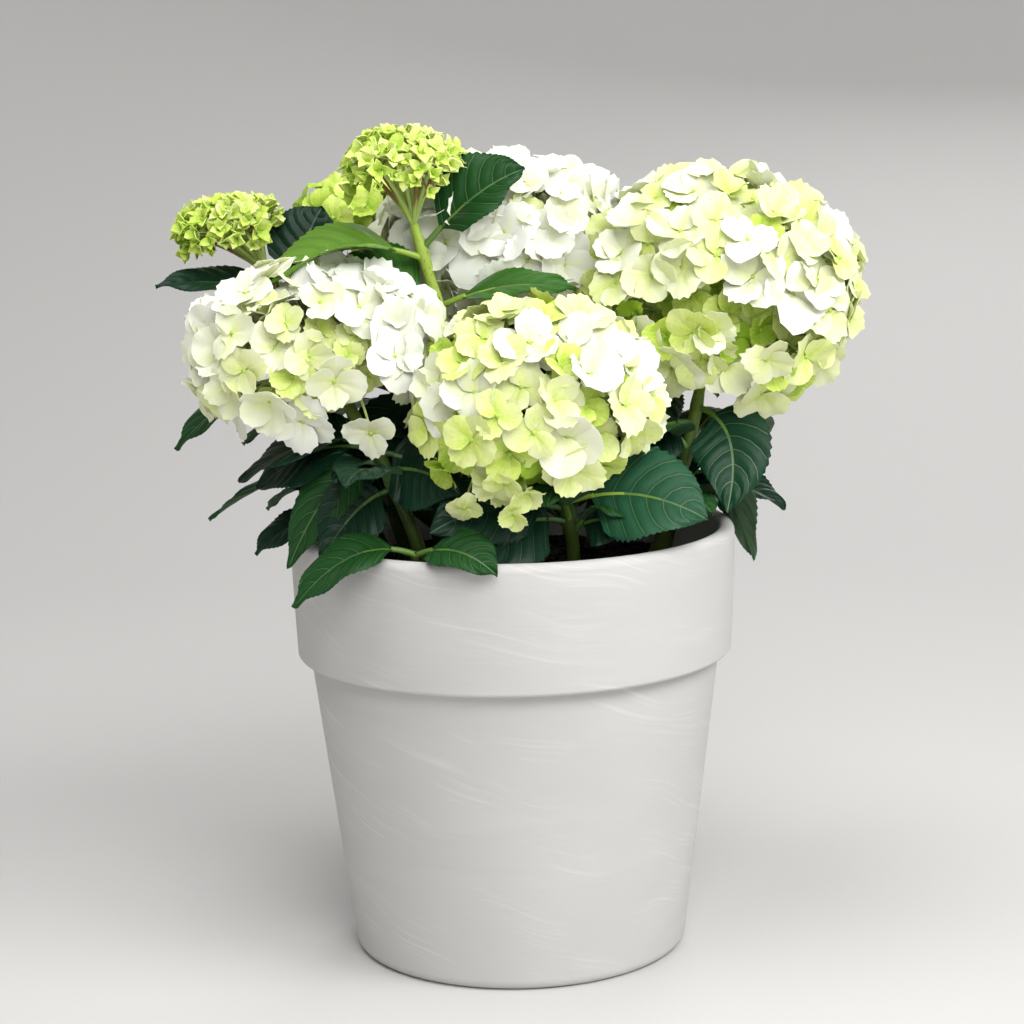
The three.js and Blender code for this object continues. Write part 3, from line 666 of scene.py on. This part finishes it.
def inside_radius(height):
    """The radius of the pot's inside at a height."""
    floor_radius = FOOT_RADIUS - WALL
    return floor_radius + (RIM_RADIUS - WALL - floor_radius) * (height - FLOOR) / (POT_HEIGHT - FLOOR)


def spun(profile, steps):
    """A closed round shape from its half section."""
    bm = bmesh.new()
    verts = [bm.verts.new((radius, 0, height)) for radius, height in profile]
    edges = [bm.edges.new(pair) for pair in zip(verts, verts[1:])]
    bmesh.ops.spin(
        bm, geom=verts + edges, cent=(0, 0, 0), axis=(0, 0, 1), angle=2 * math.pi, steps=steps,
        use_merge=True,
    )
    bmesh.ops.remove_doubles(bm, verts=bm.verts, dist=1e-6)
    bmesh.ops.recalc_face_normals(bm, faces=bm.faces)
    return bm


def make_pot():
    lip = WALL / 2
    band_foot = POT_HEIGHT - BAND_HEIGHT
    widening, rise = WALL_TOP_RADIUS - FOOT_RADIUS, band_foot - FOOT_ROUND
    wall = [
        (FOOT_RADIUS + widening * k / WALL_RINGS, FOOT_ROUND + rise * k / WALL_RINGS)
        for k in range(1, WALL_RINGS)
    ]
    inside = [(inside_radius(h), h) for h in (INSIDE_TOP - INSIDE_STEP * k for k in range(INSIDE_RINGS))]
    profile = [
        (0, 0), (0.04, 0), (0.08, 0),
        *arc(FOOT_RADIUS - FOOT_ROUND, FOOT_ROUND, FOOT_ROUND, -90, 0, 6),
        *wall,
        (WALL_TOP_RADIUS - BAND_CREASE, band_foot - BAND_CREASE), (WALL_TOP_RADIUS - 0.0010, band_foot),
        *arc(BAND_FOOT_RADIUS - BAND_ROUND, band_foot + BAND_ROUND, BAND_ROUND, -90, 0, 6),
        *((radius, band_foot + height) for radius, height in BAND_SIDE),
        *arc(RIM_RADIUS - lip, POT_HEIGHT - lip, lip, 0, 180, 12),
        *inside,
        (inside_radius(FLOOR), FLOOR), (0.04, FLOOR), (0, FLOOR),
    ]
    bm = spun(profile, POT_STEPS)
    mesh = bpy.data.meshes.new("clay_pot")
    bm.to_mesh(mesh)
    bm.free()
    mesh.materials.append(clay())
    piece = finished("clay_pot", mesh, 40)
    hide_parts("pot")
    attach(piece, "root")


def make_soil():
    """A rough surface with crumbs of bark on it, over a plain filling."""
    rng = random.Random(31)
    profile = [(0, FLOOR + GAP), (inside_radius(FLOOR) - MM, FLOOR + GAP)]
    profile.append((inside_radius(SOIL_LEVEL) - MM, SOIL_LEVEL - 2 * MM))
    profile += [(SOIL_RADIUS * k / SOIL_RINGS, SOIL_LEVEL) for k in range(SOIL_RINGS - 1, -1, -1)]
    bm = spun(profile, 96)
    for v in bm.verts:
        if v.co.z > SOIL_LEVEL - MM:
            v.co.z += SOIL_UNEVENNESS * (rng.random() - 0.75)
    points, triangles = arrays(bm)
    stock = Stock()
    stock.add(points, triangles, np.zeros(len(triangles), int))
    lump, faces = BEAD_SHAPE
    for _ in range(CRUMBS):
        angle, reach = rng.uniform(0, 2 * math.pi), SOIL_RADIUS * 0.95 * math.sqrt(rng.random())
        scale = np.array([rng.uniform(0.8, 3.2), rng.uniform(0.8, 2.0), rng.uniform(0.5, 1.4)]) * MM
        turn = np.array(Matrix.Rotation(rng.uniform(0, 6.3), 3, "Z"))
        place = np.array([reach * math.cos(angle), reach * math.sin(angle), SOIL_LEVEL])
        stock.add(lump * scale @ turn.T + place, faces, np.full(len(faces), rng.random() < 0.5, int))
    piece = stock.piece("potting_mix", [SOIL, CRUMB], 60)
    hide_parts("soil")
    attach(piece, "root")


# Leaves

def leaf_rows():
    """Shares of a leaf's length: a thin row for each vein, and six rows of blade between veins."""
    rows = [0.0, 0.02]
    gap = VEINED_SHARE / LEAF_VEINS
    for k in range(LEAF_VEINS):
        start = FIRST_VEIN + gap * k
        rows += [start, start + VEIN_SHARE] + [start + gap * part for part in BLADE_ROWS]
    return rows + [0.93, 0.955, 0.975, 0.99, 1.0]


LEAF_ACROSS = [-1, -0.93, -0.72, -0.48, -0.24, -0.05, 0.05, 0.24, 0.48, 0.72, 0.93, 1]
LEAF_ALONG = leaf_rows()
LEAF_GRID = sheet_grid(LEAF_ACROSS, LEAF_ALONG)


def leaf_kinds():
    """The kind of each triangle of the leaf grid: 0 blade, 1 blade beside a vein or the midrib, in a darker
    tone as painted shade, 2 vein and the midrib's tip, 3 and 4 the midrib near the stalk and past it, 5
    underside."""
    points, triangles = LEAF_GRID
    middle = points[triangles].mean(axis=1)
    size = np.abs(middle[:, 0])
    row = np.searchsorted(np.array(LEAF_ALONG), middle[:, 1]) - 1
    veined = (row >= 2) & (row < 2 + ROWS_PER_VEIN * LEAF_VEINS)
    cell = np.where(veined, (row - 2) % ROWS_PER_VEIN, 3)
    kinds = np.zeros(len(triangles), int)
    kinds[(cell == 1) | (cell == 6) | (size < 0.12)] = 1
    kinds[(cell == 0) & (size < 0.93)] = 2
    for kind, reach in ((2, 1.0), (4, 0.6), (3, 0.3)):
        kinds[(size < 0.05) & (middle[:, 1] < reach)] = kind
    kinds[middle[:, 2] < 0.25] = 5
    return kinds


LEAF_KINDS = leaf_kinds()


def leaf_outline(share):
    """Half a leaf's width at a share of its length, 1 at its widest."""
    share = np.clip(share, 0, 1)
    return share**0.52 * (1 - share) ** 0.68 * (1 - 0.55 * share**5) / 0.425


def blade_points(rib, width, tilt_deg, fold, rng):
    """The leaf grid laid along a rib: veined, quilted between the veins, toothed and waved at the edge."""
    points, _ = LEAF_GRID
    across, along, top = points.T
    size = np.abs(across)
    share = along + (1 - VEIN_SWEEP * (1 - along) ** 2 - along) * size**1.3
    row = np.searchsorted(np.array(LEAF_ALONG), along - 1e-6) - 2
    tooth = np.where(np.isin(row % ROWS_PER_VEIN, (2, 4, 6)), -1, 1) * (size > 0.99) * (along > 0.06)
    share = np.clip(share + TOOTH_SLANT * tooth, 0, 1)
    half = width / 2 * leaf_outline(share) * (1 + TOOTH_DEPTH * tooth)
    on_midrib = size < 0.06
    midrib = np.sign(across) * np.minimum(MIDRIB_HALF - MIDRIB_TAPER * along, 0.6 * half)
    offset = np.where(on_midrib, midrib, across * half)
    t = PETIOLE_SHARE + (1 - PETIOLE_SHARE) * share
    heading = rib.heading(t)
    tilt = math.radians(tilt_deg)
    face = np.array([0, -math.sin(tilt), math.cos(tilt)])
    normal = unit(face - heading * (heading @ face)[:, None])
    side = np.cross(heading, normal)
    twist = math.radians(rng.uniform(-LEAF_TWIST_DEG, LEAF_TWIST_DEG)) * share
    normal, side = (
        normal * np.cos(twist)[:, None] + side * np.sin(twist)[:, None],
        side * np.cos(twist)[:, None] - normal * np.sin(twist)[:, None],
    )
    phase = np.clip((along - FIRST_VEIN) / VEINED_SHARE * LEAF_VEINS, 0, LEAF_VEINS)
    quilt = QUILT_DEPTH * np.sin(math.pi * phase) ** 2 * np.minimum(1, 4 * size) * (1 - size**5)
    fold *= rng.uniform(0.6, 1.25)
    rise = half * (fold * size - rng.uniform(0.0, 0.14) * size**3) + quilt
    ripple = rng.uniform(1.6, 2.6) * along + rng.random() + 0.3 * (across > 0)
    rise += EDGE_WAVE * size**3 * np.sin(2 * math.pi * ripple)
    rise += (top - 1) * LEAF_THICKNESS - MIDRIB_RELIEF * on_midrib
    return rib.at(t) + side * offset[:, None] + normal * rise[:, None]


def add_leaf(stock, way, leaf, rng):
    """A leaf on its stalk, with its shade's own tones, veins and underside."""
    share, reach, arch, tilt, width, shade, *fold = leaf
    start = way.at(share)
    end = start + np.array(reach)
    rise = np.array(arch if isinstance(arch, tuple) else (0, 0, arch))
    rib = Way(start, (start + end) / 2 + 2 * rise, end)
    faint = len(BLADES)
    under = faint + len(VEINS) + (shade == YOUNG_SHADE)
    tube, faces = bent_tube(
        TUBE_PETIOLE, rib, (0, PETIOLE_SHARE + 0.03), lambda t: PETIOLE_RADIUS * (1.3 - 1.4 * t),
    )
    vein, rib_end, rib_start = (faint + level for level in VEIN_LEVELS[shade])
    stock.add(tube, faces, np.full(len(faces), rib_start if shade else rib_end))
    kinds = np.choose(LEAF_KINDS, [2 * shade, 2 * shade + 1, vein, rib_start, rib_end, under])
    fold = fold[0] if fold else YOUNG_FOLD if shade == YOUNG_SHADE else LEAF_FOLD
    stock.add(blade_points(rib, width * 1.08, tilt, fold, rng), LEAF_GRID[1], kinds)


def pair_leaves(pair, rng):
    """Two opposite leaves, each a little different."""
    share, turn, length, rise = pair
    for k in (0, 1):
        heading = math.radians(turn + 180 * k + rng.uniform(-8, 8))
        climb = math.radians(rise + rng.uniform(-7, 7))
        span = length * rng.uniform(0.92, 1.08)
        out = span * math.cos(climb)
        reach = (out * math.cos(heading), out * math.sin(heading), span * math.sin(climb))
        arch = rng.uniform(0.009, 0.015)
        yield share, reach, arch, -10 * math.sin(heading), PAIR_WIDTH * span, rng.choice((0, 0, 1))


def make_leaves(name, shoot, way):
    """The shoot's own leaves, and small dark ones near its foot."""
    rng = random.Random("leaves " + name)
    stock = Stock()
    leaves = list(shoot["leaves"])
    pairs = list(shoot["pairs"])
    if "head" in shoot:
        pairs.append((shoot["leaf_from"] + 0.03, rng.uniform(0, 180), LOW_LEAF, LOW_LEAF_RISE_DEG))
    for pair in pairs:
        leaves += pair_leaves(pair, rng)
    for leaf in leaves:
        add_leaf(stock, way, leaf, rng)
    piece = stock.piece("leaves_" + name, [*BLADES, *VEINS, *UNDERSIDES], 60)
    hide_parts("foliage_" + name)
    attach(piece, "root")


# Stems

def make_stem(name, shoot, way):
    """The whole stem from the soil to the hub, swollen where leaves join."""
    joints = [leaf[0] for leaf in shoot["leaves"]] + [pair[0] for pair in shoot["pairs"]]

    def radius(t):
        swell = sum(np.exp(-(((t - joint) / 0.02) ** 2)) for joint in set(joints))
        plain_radius = STEM_FOOT_RADIUS + (STEM_TOP_RADIUS - STEM_FOOT_RADIUS) * t
        ending = 1 if "head" in shoot else np.minimum(1, 6 * (1.03 - t))
        return plain_radius * ending * (1 + NODE_SWELL * np.minimum(swell, 1))

    points, triangles = bent_tube(TUBE_STEM, way, (0, 1), radius)
    foot = points[:, 2] < SOIL_LEVEL + GAP
    points[foot, 2] = SOIL_LEVEL + GAP
    stock = Stock()
    stock.add(points, triangles, np.zeros(len(triangles), int))
    piece = stock.piece("stalk_" + name, [STEM], 60)
    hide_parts("stem_" + name)
    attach(piece, "root")


# Flower heads

def shell(bm, across, along, place, thickness):
    """A grid laid by place(across, along), merged at its pinched ends and given a thickness."""
    bmesh.ops.create_grid(bm, x_segments=across, y_segments=along, size=0.5)
    for v in bm.verts:
        v.co = place(2 * v.co.x, v.co.y + 0.5)
    bmesh.ops.remove_doubles(bm, verts=bm.verts, dist=1e-5)
    bmesh.ops.recalc_face_normals(bm, faces=bm.faces)
    if bm.faces[0].normal.z < 0:
        bmesh.ops.reverse_faces(bm, faces=bm.faces)
    bmesh.ops.solidify(bm, geom=bm.faces[:], thickness=thickness)
    return arrays(bm)


def broad_petal(rng):
    """A petal of length 1 that fans from its base: cupped, waved and unevenly toothed."""
    fan = math.radians(PETAL_FAN_DEG)
    fullness, dent = rng.uniform(0.50, 0.80), rng.uniform(-0.06, 0.05)
    tooth = rng.choice((0.02, 0.05, 0.08, 0.11))
    teeth = [tooth * rng.uniform(0.4, 1) * (k % 2) for k in range(PETAL_COLUMNS + 1)]
    cup, roll, curl = rng.uniform(-0.04, 0.28), rng.uniform(-0.26, 0.06), rng.uniform(-0.14, 0.30)
    wave, turns, phase = rng.uniform(0.03, 0.10), rng.uniform(1.4, 3.6), rng.uniform(0, 6.3)
    frill, crease = rng.uniform(0.03, 0.07), rng.uniform(0.01, 0.05)

    def reach_at(angle):
        return math.cos(angle) ** fullness * (1 - dent * math.exp(-((angle / 0.2) ** 2)))

    def place(across, along):
        angle = fan * (0.6 * across + 0.4 * across**3)
        column = round((across + 1) / 2 * PETAL_COLUMNS)
        r = along * reach_at(angle) * (1 - teeth[column] * (along > 0.95))
        x, y = r * math.cos(angle), r * math.sin(angle)
        z = cup * r**2 + roll * r**4 + curl * y * y + wave * r**2 * math.sin(turns * angle + phase)
        z += crease * (1 - math.exp(-((angle / 0.16) ** 2))) * min(1, 3 * along) * (1 - 0.6 * along)
        z += frill * r**5 * math.sin(3.1 * turns * angle + 2 * phase)
        return x, y, z + 0.004 * (1 if column % 2 else -1) * math.sin(math.pi * min(along, 0.96))

    points, triangles = shell(bmesh.new(), PETAL_COLUMNS, PETAL_ROWS, place, PETAL_THICKNESS)
    middle = points[triangles].mean(axis=1)
    angle = np.arctan2(middle[:, 1], middle[:, 0])
    share = np.hypot(middle[:, 0], middle[:, 1]) / np.cos(np.clip(angle, -1.35, 1.35)) ** fullness
    column = np.floor(angle / math.radians(7))
    tint = 3.2 * np.clip(1 - share, 0, 1) ** 1.6 + 0.5 * (column % 2) + 0.5 * np.sin(4 * angle + phase)
    return points, triangles, tint


def narrow_petal(rng):
    """A young petal: pointed, folded on its middle and curling out a little at its tip."""
    width, curl = rng.uniform(0.36, 0.48), rng.uniform(0.0, 0.24)

    def place(across, along):
        y = across * width * math.sqrt(max(along * (1 - along), 0)) * (1.9 - 0.7 * along)
        return along * (1 - 0.2 * curl * along), y, 0.45 * abs(y) - curl * along**3

    points, triangles = shell(bmesh.new(), 2, 4, place, YOUNG_PETAL_THICKNESS)
    share = points[triangles].mean(axis=1)[:, 0]
    return points, triangles, np.where(share > 0.6, -1.3, np.where(share > 0.3, 0.0, 1.6))


def petal_shapes():
    rng = random.Random(77)
    broad = [broad_petal(rng) for _ in range(PETAL_VARIANTS)]
    return broad, [narrow_petal(rng) for _ in range(YOUNG_VARIANTS)]


BROAD_PETALS, NARROW_PETALS = petal_shapes()


def floret_frame(outward, spin):
    """Columns side, across and outward for a floret that faces a way."""
    flat = np.array([1.0, 0, 0]) if abs(outward[2]) > 0.9 else np.array([0, 0, 1.0])
    side = unit(np.cross(outward, flat))
    across = np.cross(outward, side)
    turned = side * math.cos(spin) + across * math.sin(spin)
    return np.stack([turned, np.cross(outward, turned), outward], axis=1)


def floret_points(outward, size, tint, young, rng):
    """A floret at the origin: petals round a bead, with their kinds."""
    turned = floret_frame(outward, rng.uniform(0, 6.3))
    count = rng.choice((4, 4, 4, 4, 4, 4, 3, 5))
    openness = rng.uniform(34, 78) if young else rng.choice((rng.uniform(0, 14), rng.uniform(4, 28)))
    parts = []
    for k in range(count):
        shape, triangles, petal_tint = rng.choice(NARROW_PETALS if young else BROAD_PETALS)
        twist = np.array(Matrix.Rotation(math.radians(rng.uniform(-4, 18)), 3, "X"))
        lift = np.array(Matrix.Rotation(-math.radians(openness + rng.uniform(-10, 10)), 3, "Y")) @ twist
        turn = np.array(Matrix.Rotation(2 * math.pi * k / count + rng.uniform(-0.14, 0.14), 3, "Z"))
        layer = np.array([0, 0, 0.0010 * (k % 2) + 0.0002 * k])
        points = (shape * size * rng.uniform(0.86, 1.08)) @ lift.T @ turn.T + layer
        kinds = np.clip(np.round(tint + rng.uniform(-0.5, 0.5) + petal_tint), 0, PETAL_TINTS - 1)
        parts.append((points @ turned.T, triangles, kinds.astype(int)))
    ball, faces = BEAD_SHAPE
    points = ball * (0.0011 if young else 0.0016) + np.array([0, 0, 0.001])
    parts.append((points @ turned.T, faces, np.full(len(faces), BEAD_KIND)))
    return parts


def head_directions(count, spread_deg, lean):
    """Evenly spread ways out of a head, round its lean."""
    axis = Vector((lean[0], lean[1], 1)).normalized()
    turn = np.array(Vector((0, 0, 1)).rotation_difference(axis).to_matrix())
    spread = 1 - math.cos(math.radians(spread_deg))
    for k in range(count):
        cosine = 1 - spread * (k + 0.5) / count
        sine = math.sqrt(1 - cosine**2)
        angle = k * GOLDEN_ANGLE
        yield turn @ np.array([sine * math.cos(angle), sine * math.sin(angle), cosine])


def outside_others(place, name):
    """True where a place lies outside the ovals of the other heads."""
    for other, shoot in SHOOTS.items():
        head = shoot.get("head")
        if head and other != name:
            if np.linalg.norm((place - np.array(head["centre"])) / np.array(head["radii"])) < 0.95:
                return False
    return True


def hollow_at(place, hollows):
    """How deep in a hollow of its head a place lies, from 0 to 1."""
    return max([0, *(1 - np.linalg.norm(place - np.array(hollow)) / HOLLOW_REACH for hollow in hollows)])


class FlowerHead:
    """A flower head in the making: branches from the hub, a stalk to each floret, and the florets."""

    def __init__(self, name, shoot):
        self.name, self.plan = name, shoot["head"]
        self.rng = random.Random("head " + name)
        self.young = self.plan.get("open", False)
        self.hub = np.array(shoot["hub"])
        self.centre, self.radii = np.array(self.plan["centre"]), np.array(self.plan["radii"])
        self.spread = self.plan.get("spread", OPEN_SPREAD_DEG if self.young else FLORET_SPREAD_DEG)
        self.palest, self.limest = self.plan["tints"]
        self.forks, self.stock = [], Stock()

    def add_stalk(self, start, end, thick, thin):
        lift = np.array([0, 0, 0.12 * np.linalg.norm(end - start)])
        twig = Way(start, (start + end) / 2 + lift, end)
        points, faces = bent_tube(TUBE_STALK, twig, (0, 1), lambda t: thick + (thin - thick) * t)
        along = TUBE_STALK[0][faces].mean(axis=1)[:, 2]
        rusty = self.young and self.rng.random() < RUSTY_SHARE
        self.stock.add(points, faces, np.where(rusty & (abs(along - 0.75) < 0.4), RUST_KIND, STALK_KIND))

    def add_flower(self, place, out, size, tint, deep):
        """A floret on its stalk, tinted limer as painted shade where it is deep or turned away from the
        light.
        """
        shake = np.array([self.rng.uniform(-1, 1) for _ in range(3)])
        outward = unit(out + FLORET_SHAKE * shake + FACING)
        # Painted shade: a deep floret is tinted 2.8 steps limer, and one turned from BRIGHT_SIDE up to 2.3
        # steps limer.
        shade = tint + 2.8 * deep + 1.3 * (0.8 - outward @ BRIGHT_SIDE)
        parts = floret_points(outward, size * (0.8 if deep else 1), shade, self.young, self.rng)
        offset = place - self.centre
        spans = [np.linalg.norm((part[0] + offset) / self.radii, axis=1).max() for part in parts]
        over = max(spans) - OVAL_LIMIT
        if over > 0 and outward[2] > -0.4:
            place = place - offset * over * 0.9
        fork = min(self.forks, key=lambda f: np.linalg.norm(f - place))
        self.add_stalk(fork, place, 0.0008, STALK_RADIUS)
        for points, triangles, kinds in parts:
            self.stock.add(points + place, triangles, kinds)

    def grow_buds(self):
        """Clusters of young florets, each on its own twig from the hub."""
        rng = self.rng
        outs = list(head_directions(CLUSTERS, self.spread * 0.9, self.plan["lean"]))
        sink = np.array([0, 0, 0.004])
        self.forks = [self.centre + self.radii * out * rng.uniform(0.50, 0.84) - sink for out in outs]
        for fork, out in zip(self.forks, outs):
            self.add_stalk(self.hub, fork, 0.0015, 0.0011)
            for near in head_directions(self.plan["florets"] // CLUSTERS, 100, (0, 0)):
                turned = floret_frame(unit(out), 0) @ near
                place = fork + 0.27 * self.radii.max() * turned * rng.uniform(0.6, 1.35)
                size = self.plan["size"] * rng.uniform(0.6, 1.15)
                tint = self.palest + (self.limest - self.palest) * rng.random()
                self.add_flower(place, unit(turned + unit(out)), size, tint, False)

    def grow_florets(self):
        """Open florets over the whole oval, paler and larger where they are young, and smaller and limer in
        the head's hollows, that lime painted shade.
        """
        rng, plan = self.rng, self.plan
        drawn, narrowed = plan.get("chin", (0, 0))
        outs = head_directions(HEAD_FORKS, self.spread, plan["lean"])
        self.forks = [self.centre + self.radii * out * 0.5 for out in outs]
        for fork in self.forks:
            self.add_stalk(self.hub, fork, 0.0014, 0.0009)
        for out in head_directions(plan["florets"], self.spread, plan["lean"]):
            deep = rng.random() < DEEP_SHARE
            depth = rng.uniform(0.70, 0.86) if deep else rng.uniform(0.90, 1.02)
            place = self.centre + self.radii * out * depth
            low_down = max(0, (self.centre - place)[2] / self.radii[2])
            place[0] += low_down * (drawn + narrowed * (self.centre - place)[0])
            if outside_others(place, self.name):
                hollow = hollow_at(place, plan.get("hollows", ()))
                place = place + (self.centre - place) * HOLLOW_DEPTH * hollow
                # A floret's age is drawn at random, and a hollow adds to it: smaller there, and limer as
                # painted shade.
                age_and_painted_shade = min(1, rng.random() ** 1.3 + hollow)
                size = plan["size"] * (1.12 - 0.34 * age_and_painted_shade) * rng.uniform(0.94, 1.06)
                # Florets are tinted limer the lower they sit on the head.
                tint = self.palest + (self.limest - self.palest) * age_and_painted_shade + plan.get("limer_below", 0) * low_down
                self.add_flower(place, unit(out / self.radii), size, tint, deep or hollow > 0.3)

    def hang_drops(self):
        """Single florets low on the head's front."""
        for *place, share in self.plan.get("drops", ()):
            low_down = (self.centre[2] - place[2]) / self.radii[2]
            tint = self.limest * (1.1 - share) + self.plan.get("limer_below", 0) * low_down
            self.add_flower(np.array(place), DROP_FACING, self.plan["size"] * share, tint, False)


def make_head(name, shoot):
    head = FlowerHead(name, shoot)
    if head.young:
        head.grow_buds()
    else:
        head.grow_florets()
        head.hang_drops()
    piece = head.stock.piece("florets_" + name, [*PETALS, BEAD, STALK, RUST], 50)
    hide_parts("bloom_" + name)
    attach(piece, "root")


# Stage, light and camera

def make_stage():
    """A pale round floor that sweeps up into a wall on every side."""
    profile = [(0, 0), (0.3, 0), (0.7, 0)]
    profile += arc(STAGE_FLAT, STAGE_SWEEP, STAGE_SWEEP, -90, 0, 24)
    profile.append((STAGE_FLAT + STAGE_SWEEP, STAGE_TOP))
    bm = spun(profile, 96)
    bmesh.ops.reverse_faces(bm, faces=bm.faces)
    mesh = bpy.data.meshes.new("studio_floor")
    bm.to_mesh(mesh)
    bm.free()
    mesh.materials.append(plain("studio_paint", (0.57, 0.565, 0.555), 0.85))
    finished("studio_floor", mesh, 80)


def lamp(name, place, aim, size, watts, colour):
    data = bpy.data.lights.new(name, "AREA")
    data.shape = "DISK"
    data.size = size
    data.energy = watts
    data.color = colour
    light = bpy.data.objects.new(name, data)
    light.location = place
    light.rotation_euler = (Vector(aim) - Vector(place)).to_track_quat("-Z", "Y").to_euler()
    bpy.context.scene.collection.objects.link(light)


def make_lights():
    middle = (0, 0, 0.3)
    lamp("key", (1.35, -0.95, 1.7), middle, 1.3, 31.5, (1.0, 0.995, 0.985))
    lamp("front", (0.45, -2.05, 1.95), middle, 1.6, 43.5, (1.0, 1.0, 1.0))
    lamp("top", (-0.4, -0.35, 2.35), middle, 1.4, 25, (1.0, 1.0, 1.0))
    lamp("rim", (0.6, 1.9, 1.3), middle, 1.2, 10, (1.0, 1.0, 1.0))
    world = bpy.data.worlds.new("studio")
    bpy.context.scene.world = world
    world.use_nodes = True
    world.node_tree.nodes["Background"].inputs["Color"].default_value = (1.0, 0.995, 0.985, 1)
    world.node_tree.nodes["Background"].inputs["Strength"].default_value = 0.175
    bpy.context.scene.view_settings.view_transform = "Standard"


def make_camera():
    data = bpy.data.cameras.new("camera")
    data.sensor_width = SENSOR_MM
    data.sensor_fit = "HORIZONTAL"
    data.lens = SENSOR_MM * CAMERA_FOCAL_PIXELS / PHOTO_PIXELS
    data.clip_start = 0.01
    camera = bpy.data.objects.new("camera", data)
    turn = Matrix.Rotation(math.pi / 2 - CAMERA_PITCH, 4, "X") @ Matrix.Rotation(CAMERA_ROLL, 4, "Z")
    camera.matrix_world = Matrix.Translation(CAMERA_PLACE) @ turn
    bpy.context.scene.collection.objects.link(camera)
    bpy.context.scene.camera = camera


make_camera()
make_lights()
make_stage()
make_pot()
make_soil()
for shoot_name, shoot_plan in SHOOTS.items():
    foot = (*shoot_plan["foot"], SOIL_LEVEL + GAP)
    shoot_way = Way(foot, shoot_plan["bend"], shoot_plan["hub"])
    make_stem(shoot_name, shoot_plan, shoot_way)
    make_leaves(shoot_name, shoot_plan, shoot_way)
    if "head" in shoot_plan:
        make_head(shoot_name, shoot_plan)
